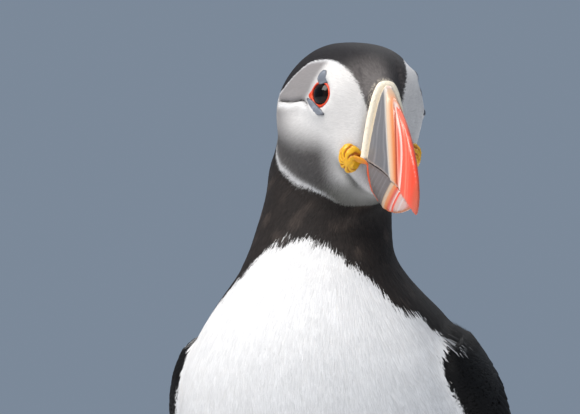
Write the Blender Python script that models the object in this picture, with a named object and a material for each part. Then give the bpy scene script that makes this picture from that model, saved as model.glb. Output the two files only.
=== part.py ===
"""Atlantic puffin, life size, standing at rest with its head turned to its left.

Built in millimetres in the bird's own frame: it faces -Y, its left is +X, and its soles lie on z = 0.
The trunk, neck and head are one loft of sections from the root of the tail to the base of the bill,
parted by thin plane cuts. Every other piece is set on that loft.
"""

import math

import bmesh
import bpy
import numpy as np
from mathutils import Vector
from mathutils.bvhtree import BVHTree

MM = 0.001
GAP = 0.3

# Pose of the head: its frame has its origin at the top of the bill's base, on the midline.
HEAD_YAW = 45.0
HEAD_PITCH = 15.0
BILL_ROOT = (33.9, -39.3, 206.0)

# Bill, in the head's frame: (forward, up) points of the ridge and of the line where it closes.
GAPE = (4.6, -22.8)
CULMEN = ((0, 0), (4, -2.2), (8.5, -3.7), (13, -5.4), (17.7, -7.9), (22.5, -11.1),
          (27.5, -15.5), (31.2, -19.9), (33.7, -24), (34.9, -28.2), (34.4, -32.2))
CUTTING_EDGE = (GAPE, (8.5, -23.0), (12, -23.2), (15.5, -23.6), (18.8, -24.3), (22, -25.4),
                (25, -26.8), (27.6, -28.4), (30, -29.7), (32, -30.8), (34, -32.0))
GONYS = ((4.7, -33.8), (8.8, -35.9), (14.5, -36.5), (20.8, -34.9), (26, -32.7), (30, -30.8))
BILL_HALF_WIDTH = 6.5
LOWER_BILL_INSET = 0.4
BILL_CLOSING_GAP = 0.45
CERE_HALF_WIDTH = 8.0
CERE_DEPTH = 2.2
CERE_RISE = 0.9

# Eye, in the head's frame.
EYE_FORWARD = -14.0
EYE_UP = -7.3
EYE_RADIUS = 5.0
EYE_OPENING = 3.15
EYE_SEGMENTS = (14, 8)
LID_WIDTH = 0.8
LID_THICKNESS = 0.8
LID_CORNERS = (112.0, 206.0, 296.0)
LID_SEGMENTS = (20, 6)
UPPER_PLATE_LEAN = -0.2
UPPER_PLATE_HALF_WIDTH = 1.8
UPPER_PLATE_START = 4.9
UPPER_PLATE_HEIGHT = 4.3
LOWER_PLATE_TURNS = (214.0, 294.0)
LOWER_PLATE_WIDTH = 1.9
PLATE_EDGE = 0.6
PLATE_CROWN = 0.4

# The yellow rosette of skin at the corner of the mouth.
ROSETTE_FORWARD = -0.2
ROSETTE_UP = -23.3
ROSETTE_HALF_SIZE = (3.7, 4.6)
ROSETTE_RIM = 0.9
ROSETTE_CROWN = 1.7

# Legs and feet.
STANCE_HALF_WIDTH = 23.0
HEEL_Y = 21.0
ANKLE = (22.5, 30.0, 31.0)
FOOT_HEIGHT = 6.0
HEEL_LENGTH = 4.6
WEB_THICKNESS = 1.1
TOE_HEIGHT = 2.1
TOES = {"inner": (-27.0, 30.0), "middle": (-2.0, 38.0), "outer": (21.0, 36.0)}
FOOT_SPLAY = 7.0
CLAW_LENGTH = 6.5
CLAW_RADIUS = 1.25
TARSUS_HALF_SIZE = (2.1, 3.0)
KNEE = (17.0, 2.0, 64.0)
THIGH_RADII = (3.4, 12.9)

# Folded wings, along the sections of the trunk: where each begins, is parted and ends.
WING_TIP = 0.0
WING_BEND = 9.1
WING_CUTS = (WING_BEND, 6.3, 3.5, WING_TIP)
WING_ROWS = (9, 8, 9)
WING_COLUMNS = 9
WING_THICKNESS = 4.6
WING_EDGE_THICKNESS = 0.8
WING_CLEARANCE = 1.1

TAIL_ROOT = (0.0, 56.5, 48.0)
TAIL_LENGTH = 46.0
TAIL_DROOP = 42.0
TAIL_HALF_WIDTH = (11.0, 21.0)
TAIL_ARCH = 4.5
TAIL_THICKNESS = (7.7, 1.2)

BODY_SIDES = 28
SHARP_ANGLE = 50.0

SIDES = {"left": 1, "right": -1}


# ---------------------------------------------------------------- frames and interpolation

def direction(yaw):
    """Unit vector that a part facing this many degrees left of straight ahead points along."""
    turn = math.radians(yaw)
    return np.array((math.sin(turn), -math.cos(turn), 0.0))


PITCH = math.radians(HEAD_PITCH)
UP = np.array((0.0, 0.0, 1.0))
HEAD_F = direction(HEAD_YAW) * math.cos(PITCH) - UP * math.sin(PITCH)
HEAD_U = direction(HEAD_YAW) * math.sin(PITCH) + UP * math.cos(PITCH)
HEAD_L = np.cross(HEAD_U, HEAD_F)


def in_head(forward, up, left=0.0):
    """World point of a place given in the head's frame."""
    return np.array(BILL_ROOT) + forward * HEAD_F + up * HEAD_U + left * HEAD_L


def spline(rows, t):
    """Catmull-Rom curve through equally spaced rows of numbers, at the parameter t."""
    rows = np.asarray(rows, float)
    last = len(rows) - 1
    i = int(min(max(math.floor(t), 0), last - 1))
    x = t - i
    a = rows[i - 1] if i else 2 * rows[0] - rows[1]
    b, c = rows[i], rows[i + 1]
    d = rows[i + 2] if i + 2 <= last else 2 * rows[-1] - rows[-2]
    return 0.5 * (2 * b + (c - a) * x + (2 * a - 5 * b + 4 * c - d) * x ** 2
                  + (3 * b - a - 3 * c + d) * x ** 3)


# ---------------------------------------------------------------- the body's sections

def section(back, front, half_width, yaw=0.0, wide_at=0.5, fullness=(2.0, 2.0)):
    """One section: its back and front points, half width, the way it faces, where between
    back and front it is widest, and how square its back and front halves are."""
    lateral = (math.cos(math.radians(yaw)), math.sin(math.radians(yaw)), 0.0)
    return np.array((*back, *front, *lateral, half_width, wide_at, *fullness))


def trunk(back_y, back_z, front_y, front_z, half_width, **more):
    return section((0, back_y, back_z), (0, front_y, front_z), half_width, **more)


def head(back, front, half_width, left=0.0, yaw=HEAD_YAW, **more):
    return section(in_head(*back, left), in_head(*front, left), half_width, yaw, **more)


TRUNK_SECTIONS = [
    trunk(60, 55, 51, 43, 12.0),
    trunk(54, 67, 40, 39.5, 23.0),
    trunk(48.5, 79, 25, 40, 33.5),
    trunk(43, 91.5, 8, 45, 41.5),
    trunk(38, 104, -11, 55, 46.5),
    trunk(33.5, 116, -28, 70, 48.5),
    trunk(28.5, 127.5, -40.5, 88, 48.5),
    trunk(18.5, 140.5, -47.5, 107, 43.8),
    trunk(8.5, 150, -49, 124, 33.6),
    trunk(5.6, 157, -44.2, 138, 26.2),
    trunk(7, 161.5, -37.5, 149, 22.7),
]
NECK_SECTIONS = [
    section((-0.6, 8.6, 167.5), (0.4, -32.8, 158), 20.8, yaw=5),
    section((-4.8, 8.2, 174.5), (5.6, -30.2, 163.5), 19.8, yaw=17),
    section((-8.1, 6.4, 181), (12.2, -27.8, 166.8), 19.8, yaw=31, wide_at=0.48),
]
HEAD_SECTIONS = [
    head((-52.2, -34), (-12.5, -43.6), 18.8, left=-3.2, yaw=41, wide_at=0.45),
    head((-51.8, -23.5), (-11.3, -42.4), 17.8, left=-1.5, yaw=44, wide_at=0.40),
    head((-50.4, -13.0), (-10, -41.1), 20.8, wide_at=0.34, fullness=(2.2, 1.95)),
    head((-46.6, -3.8), (-8.3, -39.8), 21.8, wide_at=0.38, fullness=(2.15, 1.9)),
    head((-39.6, 2.8), (-6.2, -38.6), 20.7, wide_at=0.40, fullness=(2.2, 1.85)),
    head((-30.5, 5.4), (-4.0, -37.4), 18.6, wide_at=0.39, fullness=(2.4, 1.85)),
    head((-21.3, 6.8), (-1.8, -36.4), 16.3, wide_at=0.41, fullness=(2.6, 1.85)),
    head((-13.2, 6.4), (0.2, -35.6), 13.8, wide_at=0.46, fullness=(2.35, 1.9)),
    head((-6.9, 4.4), (1.9, -34.9), 11.0, wide_at=0.56, fullness=(2.05, 1.95)),
    head((-2.5, 1.2), (3.2, -34.2), 8.3, wide_at=0.66, fullness=(1.85, 2.0)),
]
BODY_SECTIONS = TRUNK_SECTIONS + NECK_SECTIONS + HEAD_SECTIONS
ABDOMEN_START = 2.0
BREAST_START = 5.6
NECK_START = 9.6
HEAD_START = 14.6
BODY_END = len(BODY_SECTIONS) - 1


def outline_point(values, angle):
    """Point of one section, at this angle round it from the back (positive on the left)."""
    back, front, lateral = values[0:3], values[3:6], values[6:9]
    half_width, wide_at, back_square, front_square = values[9:13]
    middle = back + wide_at * (front - back)
    c, s = math.cos(angle), math.sin(angle)
    square = back_square if c > 0 else front_square
    along = abs(c) ** (2 / square)
    across = math.copysign(abs(s) ** (2 / square), s)
    end = back if c > 0 else front
    lateral = lateral / np.linalg.norm(lateral)
    return middle + along * (end - middle) + across * half_width * lateral


def body_point(t, angle, sections=BODY_SECTIONS):
    return outline_point(spline(sections, t), angle)


def body_ring(t, sides, sections=BODY_SECTIONS):
    values = spline(sections, t)
    return [outline_point(values, 2 * math.pi * k / sides) for k in range(sides)]


# ---------------------------------------------------------------- mesh helpers

def collection(name):
    made = bpy.data.collections.new(name)
    bpy.context.scene.collection.children.link(made)
    return made


def material(name, colour, roughness, metallic=0.0):
    made = bpy.data.materials.new(name)
    made.use_nodes = True
    shader = made.node_tree.nodes["Principled BSDF"]
    shader.inputs["Base Color"].default_value = (*colour, 1.0)
    shader.inputs["Roughness"].default_value = roughness
    shader.inputs["Metallic"].default_value = metallic
    made.diffuse_color = (*colour, 1.0)
    return made


def add_object(name, points, faces, finish, into):
    """A closed mesh from points in millimetres, with its origin at the middle of its box."""
    points = np.asarray(points, float)
    middle = (points.min(0) + points.max(0)) / 2
    mesh = bpy.data.meshes.new(name)
    mesh.from_pydata(((points - middle) * MM).tolist(), [], faces)
    work = bmesh.new()
    work.from_mesh(mesh)
    bmesh.ops.recalc_face_normals(work, faces=work.faces)
    work.to_mesh(mesh)
    work.free()
    mesh.shade_smooth()
    mesh.set_sharp_from_angle(angle=math.radians(SHARP_ANGLE))
    mesh.materials.append(finish)
    made = bpy.data.objects.new(name, mesh)
    made.location = middle * MM
    into.objects.link(made)
    return made


def tube_faces(rings, sides):
    """Quads between rings of the same number of points, and a cap on each end."""
    faces = []
    for r in range(rings - 1):
        for k in range(sides):
            a, b = r * sides + k, r * sides + (k + 1) % sides
            faces.append((a, b, b + sides, a + sides))
    faces.append(tuple(range(sides))[::-1])
    faces.append(tuple((rings - 1) * sides + k for k in range(sides)))
    return faces


def loft(name, rings, finish, into):
    sides = len(rings[0])
    points = [p for ring in rings for p in ring]
    return add_object(name, points, tube_faces(len(rings), sides), finish, into)


def slab(name, outer, inner, finish, into):
    """A closed sheet between two grids of points, given as arrays of rows x columns x 3."""
    rows, columns = outer.shape[:2]
    points = np.concatenate((outer.reshape(-1, 3), inner.reshape(-1, 3)))
    lower = rows * columns
    faces = []
    for i in range(rows - 1):
        for j in range(columns - 1):
            a = i * columns + j
            b = a + columns
            faces.append((a, a + 1, b + 1, b))
            faces.append((lower + a, lower + b, lower + b + 1, lower + a + 1))
    rim = [j for j in range(columns)]
    rim += [i * columns + columns - 1 for i in range(1, rows)]
    rim += [(rows - 1) * columns + j for j in range(columns - 2, -1, -1)]
    rim += [i * columns for i in range(rows - 2, 0, -1)]
    for a, b in zip(rim, rim[1:] + rim[:1]):
        faces.append((b, a, lower + a, lower + b))
    return add_object(name, points, faces, finish, into)


def subtract(target, cutter):
    cut = target.modifiers.new("clear of " + cutter.name, "BOOLEAN")
    cut.operation = "DIFFERENCE"
    cut.solver = "EXACT"
    cut.object = cutter


def make_cutter(obj):
    obj.hide_render = True
    obj.display_type = "WIRE"
    return obj


# ---------------------------------------------------------------- trunk, neck and head

def body_piece(name, start, end, rings, finish, into):
    """Part of the body's loft, its first ring moved off its neighbour by the gap."""
    steps = np.linspace(start, end, rings)
    made = [body_ring(t, BODY_SIDES) for t in steps]
    if start > 0:
        middle = np.mean(made[0], axis=0)
        normal = np.cross(made[0][1] - middle, made[0][0] - middle)
        normal /= np.linalg.norm(normal)
        if normal @ (np.mean(made[1], axis=0) - middle) < 0:
            normal = -normal
        made[0] = [p + GAP * normal for p in made[0]]
    return loft(name, made, finish, into)


def build_body(finishes, into):
    body_piece("rump", 0.0, ABDOMEN_START, 5, finishes["black"], into)
    body_piece("abdomen", ABDOMEN_START, BREAST_START, 8, finishes["white"], into)
    body_piece("breast", BREAST_START, NECK_START, 9, finishes["white"], into)
    body_piece("neck", NECK_START, HEAD_START, 9, finishes["collar"], into)
    return body_piece("head", HEAD_START, BODY_END, 15, finishes["face"], into)


class Surface:
    """Finds places on the side of the head from their forward and up coordinates."""

    SIDES = 72
    RINGS = 60
    FAR_OUT = 60.0
    JUST_OUT = 12.0

    def __init__(self):
        steps = np.linspace(HEAD_START - 1, BODY_END, self.RINGS)
        points = [Vector(p) for t in steps for p in body_ring(t, self.SIDES)]
        self.tree = BVHTree.FromPolygons(points, tube_faces(self.RINGS, self.SIDES))

    def at(self, forward, up, side):
        start = in_head(forward, up, side * self.FAR_OUT)
        hit, normal, _, _ = self.tree.ray_cast(Vector(start), Vector(-side * HEAD_L))
        normal = np.array(normal)
        return np.array(hit), normal if normal @ (side * HEAD_L) > 0 else -normal

    def frame(self, forward, up, side):
        """Origin and axes of a small plane lying on the face: ahead, upward and outward."""
        origin, outward = self.at(forward, up, side)
        upward = HEAD_U - outward * (HEAD_U @ outward)
        upward /= np.linalg.norm(upward)
        ahead = HEAD_F - outward * (HEAD_F @ outward) - upward * (HEAD_F @ upward)
        ahead /= np.linalg.norm(ahead)
        return origin, ahead, upward, outward

    def lay(self, frame, a, b):
        """The face's point below the place (a ahead, b upward) of such a plane."""
        origin, ahead, upward, outward = frame
        start = origin + a * ahead + b * upward + self.JUST_OUT * outward
        hit, _, _, _ = self.tree.ray_cast(Vector(start), Vector(-outward))
        return np.array(hit)


def pad(name, frame, surface, place, height, size, finish, into):
    """A small pad lying on the face. place(i, j) gives the plane coordinates of a place in
    the unit square, height(i, j) how thick the pad is there."""
    rows, columns = size
    outward = frame[3]
    outer = np.empty((rows, columns, 3))
    inner = np.empty((rows, columns, 3))
    for i in range(rows):
        for j in range(columns):
            x, y = i / (rows - 1), j / (columns - 1)
            foot = surface.lay(frame, *place(x, y))
            inner[i, j] = foot + GAP * outward
            outer[i, j] = foot + (GAP + height(x, y)) * outward
    return slab(name, outer, inner, finish, into)


def disc_place(half_a, half_b):
    """Square to ellipse, so that a pad's grid has no pinched corner."""
    def place(x, y):
        u, v = 2 * x - 1, 2 * y - 1
        return (half_a * u * math.sqrt(1 - v * v / 2), half_b * v * math.sqrt(1 - u * u / 2))
    return place


def rosette_height(x, y):
    u, v = 2 * x - 1, 2 * y - 1
    return ROSETTE_RIM + ROSETTE_CROWN * math.sqrt(max(0.0, (1 - u * u) * (1 - v * v)))


# ---------------------------------------------------------------- eyes, plates and rosettes

def lid_reach(angle):
    """Outer radius of the lid's bare rim, which is drawn out to three corners."""
    drawn = max(math.cos(angle - math.radians(corner)) for corner in LID_CORNERS)
    return EYE_OPENING + GAP + LID_WIDTH * (1 + max(0.0, drawn) ** 8)


def build_eye(side_name, side, surface, face, finishes, into, cutters):
    frame = surface.frame(EYE_FORWARD, EYE_UP, side)
    origin, ahead, upward, outward = frame
    depth = math.sqrt(EYE_RADIUS ** 2 - EYE_OPENING ** 2)
    centre = Vector((origin - depth * outward) * MM)
    for name, radius, home in (("eye_" + side_name, EYE_RADIUS, into),
                               ("socket_" + side_name, EYE_RADIUS + GAP, cutters)):
        mesh = bpy.data.meshes.new(name)
        work = bmesh.new()
        bmesh.ops.create_uvsphere(work, u_segments=EYE_SEGMENTS[0],
                                  v_segments=EYE_SEGMENTS[1], radius=radius * MM)
        work.to_mesh(mesh)
        work.free()
        mesh.shade_smooth()
        mesh.materials.append(finishes["eye"])
        ball = bpy.data.objects.new(name, mesh)
        ball.location = centre
        ball.rotation_mode = "QUATERNION"
        ball.rotation_quaternion = Vector(outward).to_track_quat("Z", "Y")
        home.objects.link(ball)
    subtract(face, make_cutter(ball))
    around, across = LID_SEGMENTS
    points = []
    for k in range(around):
        angle = 2 * math.pi * k / around
        inner = EYE_OPENING + GAP
        half = (lid_reach(angle) - inner) / 2
        radius = inner + half
        foot = surface.lay(frame, radius * math.cos(angle), radius * math.sin(angle))
        away = ahead * math.cos(angle) + upward * math.sin(angle)
        middle = foot + outward * (GAP + LID_THICKNESS / 2)
        points += [middle + half * math.cos(q) * away + LID_THICKNESS / 2 * math.sin(q) * outward
                   for q in np.linspace(0, 2 * math.pi, across, endpoint=False)]
    faces = []
    for k in range(around):
        for q in range(across):
            a, b = k * across + q, k * across + (q + 1) % across
            c, d = ((k + 1) % around) * across + (q + 1) % across, ((k + 1) % around) * across + q
            faces.append((a, b, c, d))
    add_object("eye_ring_" + side_name, points, faces, finishes["ring"], into)

    def upper_place(x, y):
        half = UPPER_PLATE_HALF_WIDTH * math.sqrt(max(0.03, 1 - x ** 2.5))
        return UPPER_PLATE_LEAN + half * (2 * y - 1), UPPER_PLATE_START + UPPER_PLATE_HEIGHT * x

    def lower_place(x, y):
        turn = math.radians(LOWER_PLATE_TURNS[0] * (1 - x) + LOWER_PLATE_TURNS[1] * x)
        width = LOWER_PLATE_WIDTH * math.sqrt(max(0.1, 1 - (2 * x - 1) ** 4))
        reach = lid_reach(turn) + GAP + width * y
        return reach * math.cos(turn), reach * math.sin(turn)

    def plate_height(_, y):
        return PLATE_EDGE + PLATE_CROWN * math.sin(math.pi * y)

    plate = finishes["plate"]
    pad("eye_plate_upper_" + side_name, frame, surface, upper_place, plate_height,
        (7, 5), plate, into)
    pad("eye_plate_lower_" + side_name, frame, surface, lower_place, plate_height,
        (10, 4), plate, into)


def build_rosette(side_name, side, surface, finishes, into):
    frame = surface.frame(ROSETTE_FORWARD, ROSETTE_UP, side)
    pad("rosette_" + side_name, frame, surface, disc_place(*ROSETTE_HALF_SIZE), rosette_height,
        (8, 8), finishes["rosette"], into)


# ---------------------------------------------------------------- bill

def bill_ring(top, bottom, half_width, upper):
    """One closed section of the bill: a narrow ridge on one side, the cutting edge on the other."""
    count = 6
    ring = []
    for k in range(count + 1):
        q = k / count
        width = half_width * (0.12 + 0.88 * q ** (1.2 if upper else 0.65))
        at = q * q if upper else 1 - q * q
        middle = np.array(top) + at * (np.array(bottom) - np.array(top))
        ring.append((in_head(*middle, width), in_head(*middle, -width)))
    left = [pair[0] for pair in ring]
    right = [pair[1] for pair in ring]
    return left + right[::-1]


def narrowing(t):
    """How the bill's half width falls from its base, at 0, to its tip, at 1."""
    return 0.07 + 0.93 * (1 - t) ** 0.85


def build_bill(finishes, into):
    upper = []
    steps = len(CULMEN)
    rings = 15
    for k in range(rings):
        t = k / (rings - 1)
        top = spline(CULMEN, t * (steps - 1))
        edge = spline(CUTTING_EDGE, t * (steps - 1))
        if k == rings - 1:
            edge = top + np.array((-0.5, -0.2))
        upper.append(bill_ring(top, edge, BILL_HALF_WIDTH * narrowing(t), True))
    loft("bill_upper", upper, finishes["bill"], into)
    lower = []
    count = len(GONYS)
    for k in range(2 * count - 1):
        t = k / (2 * count - 2)
        bottom = spline(GONYS, t * (count - 1))
        edge = spline(CUTTING_EDGE, t * 8.3) + np.array((0, -BILL_CLOSING_GAP))
        width = (BILL_HALF_WIDTH - LOWER_BILL_INSET) * (0.1 + 0.9 * (1 - t) ** 0.8)
        lower.append(bill_ring(edge, bottom, width, False))
    loft("bill_lower", lower, finishes["bill"], into)


def build_cere(finishes, into):
    """The pale rim round the base of the upper bill: an arched plate between bill and head."""
    slope = np.array(GAPE) / math.hypot(*GAPE)
    length = math.hypot(*GAPE)
    rings = []
    for depth, grow in ((-CERE_DEPTH + GAP, -0.5), (-CERE_DEPTH + 0.9, 0.0),
                        (-0.9, -0.1), (-GAP, -0.9)):
        left, right = [], []
        for k in range(11):
            q = (k / 10) ** 1.6
            along = slope * (q * (length - 0.4) - (1 - q) * (CERE_RISE + grow))
            width = (CERE_HALF_WIDTH + grow) * (0.1 + 0.9 * q ** 0.4)
            place = along + np.array((depth, 0))
            left.append(in_head(*place, width))
            right.append(in_head(*place, -width))
        rings.append(left + right[::-1])
    loft("cere", rings, finishes["cere"], into)


# ---------------------------------------------------------------- wings and tail

def wing_sections():
    """The sections that the folded wings lie on: the trunk's, a little larger, then the
    sections behind it over which the wing tips close above the tail."""
    rows = [
        section((0, 79, 37), (0, 72, 29), 9.0),
        section((0, 70.5, 46.5), (0, 60, 33), 15.5),
    ]
    spread = {0: 21.5, 1: 28.5, 2: 36.5, 3: 43.2, 4: 47.6}
    for k, row in enumerate(TRUNK_SECTIONS):
        row = row.copy()
        back, front = row[0:3].copy(), row[3:6].copy()
        outward = (back - front) / np.linalg.norm(back - front)
        row[0:3] = back + outward * WING_CLEARANCE
        row[3:6] = front - outward * WING_CLEARANCE
        row[9] = spread.get(k, row[9] + WING_CLEARANCE)
        rows.append(row)
    return rows


def wing_edges(t):
    """Angles from the back at which the folded wing begins and ends, at this section."""
    x = (WING_BEND - t) / (WING_BEND - WING_TIP)
    lower = 106 - 20 * x - 22 * x ** 4
    upper = 52 - 44 * min(1.0, x / 0.45) + 14 * x ** 3
    if x < 0.1:
        pinch = math.sqrt(max(0.0, 1 - (1 - x / 0.1) ** 2))
        middle = 88.0
        lower = middle + (lower - middle) * (0.35 + 0.65 * pinch)
        upper = middle + (upper - middle) * (0.35 + 0.65 * pinch)
    if x > 0.8:
        pinch = (x - 0.8) / 0.2
        lower -= 18 * pinch ** 2
        upper += 2 * pinch ** 2
    return math.radians(lower), math.radians(upper)


def wing_thickness(t, across):
    x = (WING_BEND - t) / (WING_BEND - WING_TIP)
    along = min(1.0, 0.3 + 5 * x) * (1 - 0.75 * max(0.0, x - 0.25) / 0.75)
    edge = math.sqrt(max(0.0, 1 - (1 - min(1.0, across / 0.22)) ** 2))
    fade = 1 - 0.6 * across ** 2
    return WING_EDGE_THICKNESS + WING_THICKNESS * along * edge * fade


def wing_grid(sections, side, start, end, rows):
    columns = WING_COLUMNS
    outer = np.empty((rows, columns, 3))
    inner = np.empty((rows, columns, 3))
    for i, t in enumerate(np.linspace(start, end, rows)):
        lower, upper = wing_edges(t)
        for j in range(columns):
            across = (j / (columns - 1)) ** 1.15
            angle = side * (lower + (upper - lower) * across)
            foot = body_point(t, angle, sections)
            turn = body_point(t, angle + 0.02 * side, sections) - foot
            ahead = body_point(min(t + 0.02, len(sections) - 1.0), angle, sections) - foot
            outward = np.cross(turn, ahead) * side
            outward /= np.linalg.norm(outward)
            middle = np.mean(body_ring(t, 8, sections), axis=0)
            if outward @ (foot - middle) < 0:
                outward = -outward
            inner[i, j] = foot
            outer[i, j] = foot + outward * wing_thickness(t, across)
    return outer, inner


def build_wing(side_name, side, finishes, into):
    sections = wing_sections()
    names = ("wing_coverts_", "wing_secondaries_", "wing_primaries_")
    for name, start, end, rows in zip(names, WING_CUTS, WING_CUTS[1:], WING_ROWS):
        begin = start if start == WING_BEND else start - 0.025
        outer, inner = wing_grid(sections, side, begin, end, rows)
        slab(name + side_name, outer, inner, finishes["black"], into)


def build_tail(finishes, into):
    """A short fan of stiff feathers, arched across, closed to a blunt rounded end."""
    rows, columns = 7, 11
    outer = np.empty((rows, columns, 3))
    inner = np.empty((rows, columns, 3))
    droop = math.radians(TAIL_DROOP)
    backward = np.array((0, math.cos(droop), -math.sin(droop)))
    upward = np.array((0, math.sin(droop), math.cos(droop)))
    root = np.array(TAIL_ROOT)
    thickness, end_thickness = TAIL_THICKNESS
    for i in range(rows):
        for j in range(columns):
            across = 2 * j / (columns - 1) - 1
            reach = TAIL_LENGTH * (1 - 0.2 * across ** 2)
            along = i / (rows - 1)
            half = TAIL_HALF_WIDTH[0] + (TAIL_HALF_WIDTH[1] - TAIL_HALF_WIDTH[0]) * along
            point = (root + backward * (reach * along) + upward * (-TAIL_ARCH * across ** 2)
                     + np.array((half * across * math.sqrt(1 - 0.1 * across ** 2), 0, 0)))
            thick = (end_thickness + (thickness - end_thickness) * (1 - along) ** 1.5)
            thick *= 1 - 0.55 * across ** 2
            outer[i, j] = point + upward * thick / 2
            inner[i, j] = point - upward * thick / 2
    return slab("tail", outer, inner, finishes["black"], into)


# ---------------------------------------------------------------- legs

def foot_frame(side):
    """Origin of a foot at its heel, its forward and its outer directions."""
    forward = direction(FOOT_SPLAY * side)
    outer = np.array((-forward[1], forward[0], 0.0)) * side
    return np.array((side * STANCE_HALF_WIDTH, HEEL_Y, 0.0)), forward, outer


def foot_reach(turn):
    """How far the webbed foot reaches at this angle from its middle line, in degrees."""
    toes = sorted(TOES.values())
    turns = [toe[0] for toe in toes]
    if turn <= turns[0]:
        return toes[0][1]
    if turn >= turns[-1]:
        return toes[-1][1]
    for (a, reach_a), (b, reach_b) in zip(toes, toes[1:]):
        if a <= turn <= b:
            x = (turn - a) / (b - a)
            return (reach_a + (reach_b - reach_a) * x) * (1 - 0.2 * math.sin(math.pi * x) ** 0.7)
    return toes[0][1]


def build_foot(side_name, side, finishes, into):
    origin, forward, outer_way = foot_frame(side)
    turns = [toe[0] for toe in sorted(TOES.values())]
    margin = 4.0
    spread = []
    for a, b in zip([turns[0] - margin] + turns, turns + [turns[-1] + margin]):
        inside = a >= turns[0] and b <= turns[-1]
        spread += list(np.linspace(a, b, 7 if inside else 2)[:-1])
    spread.append(turns[-1] + margin)
    rows, columns = 8, len(spread)
    top = np.empty((rows, columns, 3))
    sole = np.empty((rows, columns, 3))
    for i in range(rows):
        along = (i / (rows - 1)) ** 0.85
        for j, turn in enumerate(spread):
            angle = math.radians(turn)
            across = 2 * j / (columns - 1) - 1
            reach = foot_reach(turn) * along
            way = forward * math.cos(angle) + outer_way * math.sin(angle)
            round_heel = HEEL_LENGTH * (1 - math.sqrt(1 - 0.85 * across ** 2)) * (1 - along)
            place = (origin + way * reach + outer_way * HEEL_LENGTH * across * (1 - along) ** 2
                     + forward * (round_heel - HEEL_LENGTH * (1 - along) ** 4))
            toe = min(abs(turn - t) for t in turns) * math.pi / 180 * max(reach, 5.0)
            ridge = math.exp(-(toe / 1.9) ** 2) * (TOE_HEIGHT - 0.9 * along)
            root = (FOOT_HEIGHT - WEB_THICKNESS) * math.exp(-(along / 0.16) ** 2) * (1 - 0.5 * across ** 2)
            top[i, j] = place + UP * min(FOOT_HEIGHT, WEB_THICKNESS + ridge + root)
            sole[i, j] = place
    slab("foot_" + side_name, top, sole, finishes["leg"], into)
    for toe_name, (turn, reach) in TOES.items():
        angle = math.radians(turn)
        way = forward * math.cos(angle) + outer_way * math.sin(angle)
        cross = np.cross(UP, way)
        rings = []
        for k in range(5):
            x = k / 4
            middle = (origin + way * (reach + GAP + CLAW_LENGTH * x)
                      + UP * (2.0 + 0.9 * math.sin(math.pi * x) - 1.1 * x))
            size = CLAW_RADIUS * (1 - x) ** 0.7 + 0.12
            rings.append([middle + size * math.cos(q) * cross + size * 1.15 * math.sin(q) * UP
                          for q in np.linspace(0, 2 * math.pi, 6, endpoint=False)])
        loft(f"claw_{toe_name}_{side_name}", rings, finishes["claw"], into)


def build_leg(side_name, side, cutter, finishes, into):
    origin, forward, outer_way = foot_frame(side)
    ankle = np.array((side * ANKLE[0], ANKLE[1], ANKLE[2]))
    base = origin + UP * (FOOT_HEIGHT + GAP) + forward * 1.0
    rings = []
    for k in range(7):
        x = k / 6
        middle = base + (ankle - base) * x + np.array((0, 1.0, 0)) * math.sin(math.pi * x)
        swell = 1 + 0.25 * abs(2 * x - 1) ** 3
        half_width, half_depth = np.array(TARSUS_HALF_SIZE) * swell
        rings.append([middle + half_width * math.cos(q) * np.array((side, 0, 0))
                      + half_depth * math.sin(q) * np.array((0, 1, 0))
                      for q in np.linspace(0, 2 * math.pi, 10, endpoint=False)])
    loft("tarsus_" + side_name, rings, finishes["leg"], into)
    knee = np.array((side * KNEE[0], KNEE[1], KNEE[2]))
    start = ankle + np.array((0, -0.6, GAP))
    rings = []
    for k in range(7):
        x = k / 6
        middle = start + (knee - start) * x
        size = THIGH_RADII[0] + (THIGH_RADII[1] - THIGH_RADII[0]) * x ** 0.7
        rings.append([middle + size * math.cos(q) * np.array((side, 0, 0))
                      + size * 1.25 * math.sin(q) * np.array((0, 1, 0))
                      for q in np.linspace(0, 2 * math.pi, 16, endpoint=False)])
    thigh = loft("thigh_" + side_name, rings, finishes["white"], into)
    subtract(thigh, cutter)


def body_clearance(into):
    """The body's rear loft, swollen by the gap: what the thighs are cut clear of."""
    clear = 1.6 * GAP
    rings = []
    for t in np.linspace(0, 8, 22):
        values = spline(BODY_SECTIONS, t).copy()
        outward = values[0:3] - values[3:6]
        outward /= np.linalg.norm(outward)
        values[0:3] += outward * clear
        values[3:6] -= outward * clear
        values[9] += clear
        rings.append([outline_point(values, 2 * math.pi * k / 40) for k in range(40)])
    helper = material("helper", (1, 0, 0), 1)
    return make_cutter(loft("body_clearance", rings, helper, into))


# ---------------------------------------------------------------- the whole bird

def stand_on_origin(parts):
    """Parents every part to one empty, moved so that the origin is under the box's middle."""
    bpy.context.view_layer.update()
    corners = []
    for obj in parts:
        corners += [obj.matrix_world @ Vector(corner) for corner in obj.bound_box]
    corners = np.array(corners)
    middle = (corners.min(0) + corners.max(0)) / 2
    root = bpy.data.objects.new("puffin", None)
    bpy.context.scene.collection.objects.link(root)
    for obj in bpy.data.objects:
        if obj is not root:
            obj.parent = root
    root.location = (-middle[0], -middle[1], 0.0)


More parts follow.
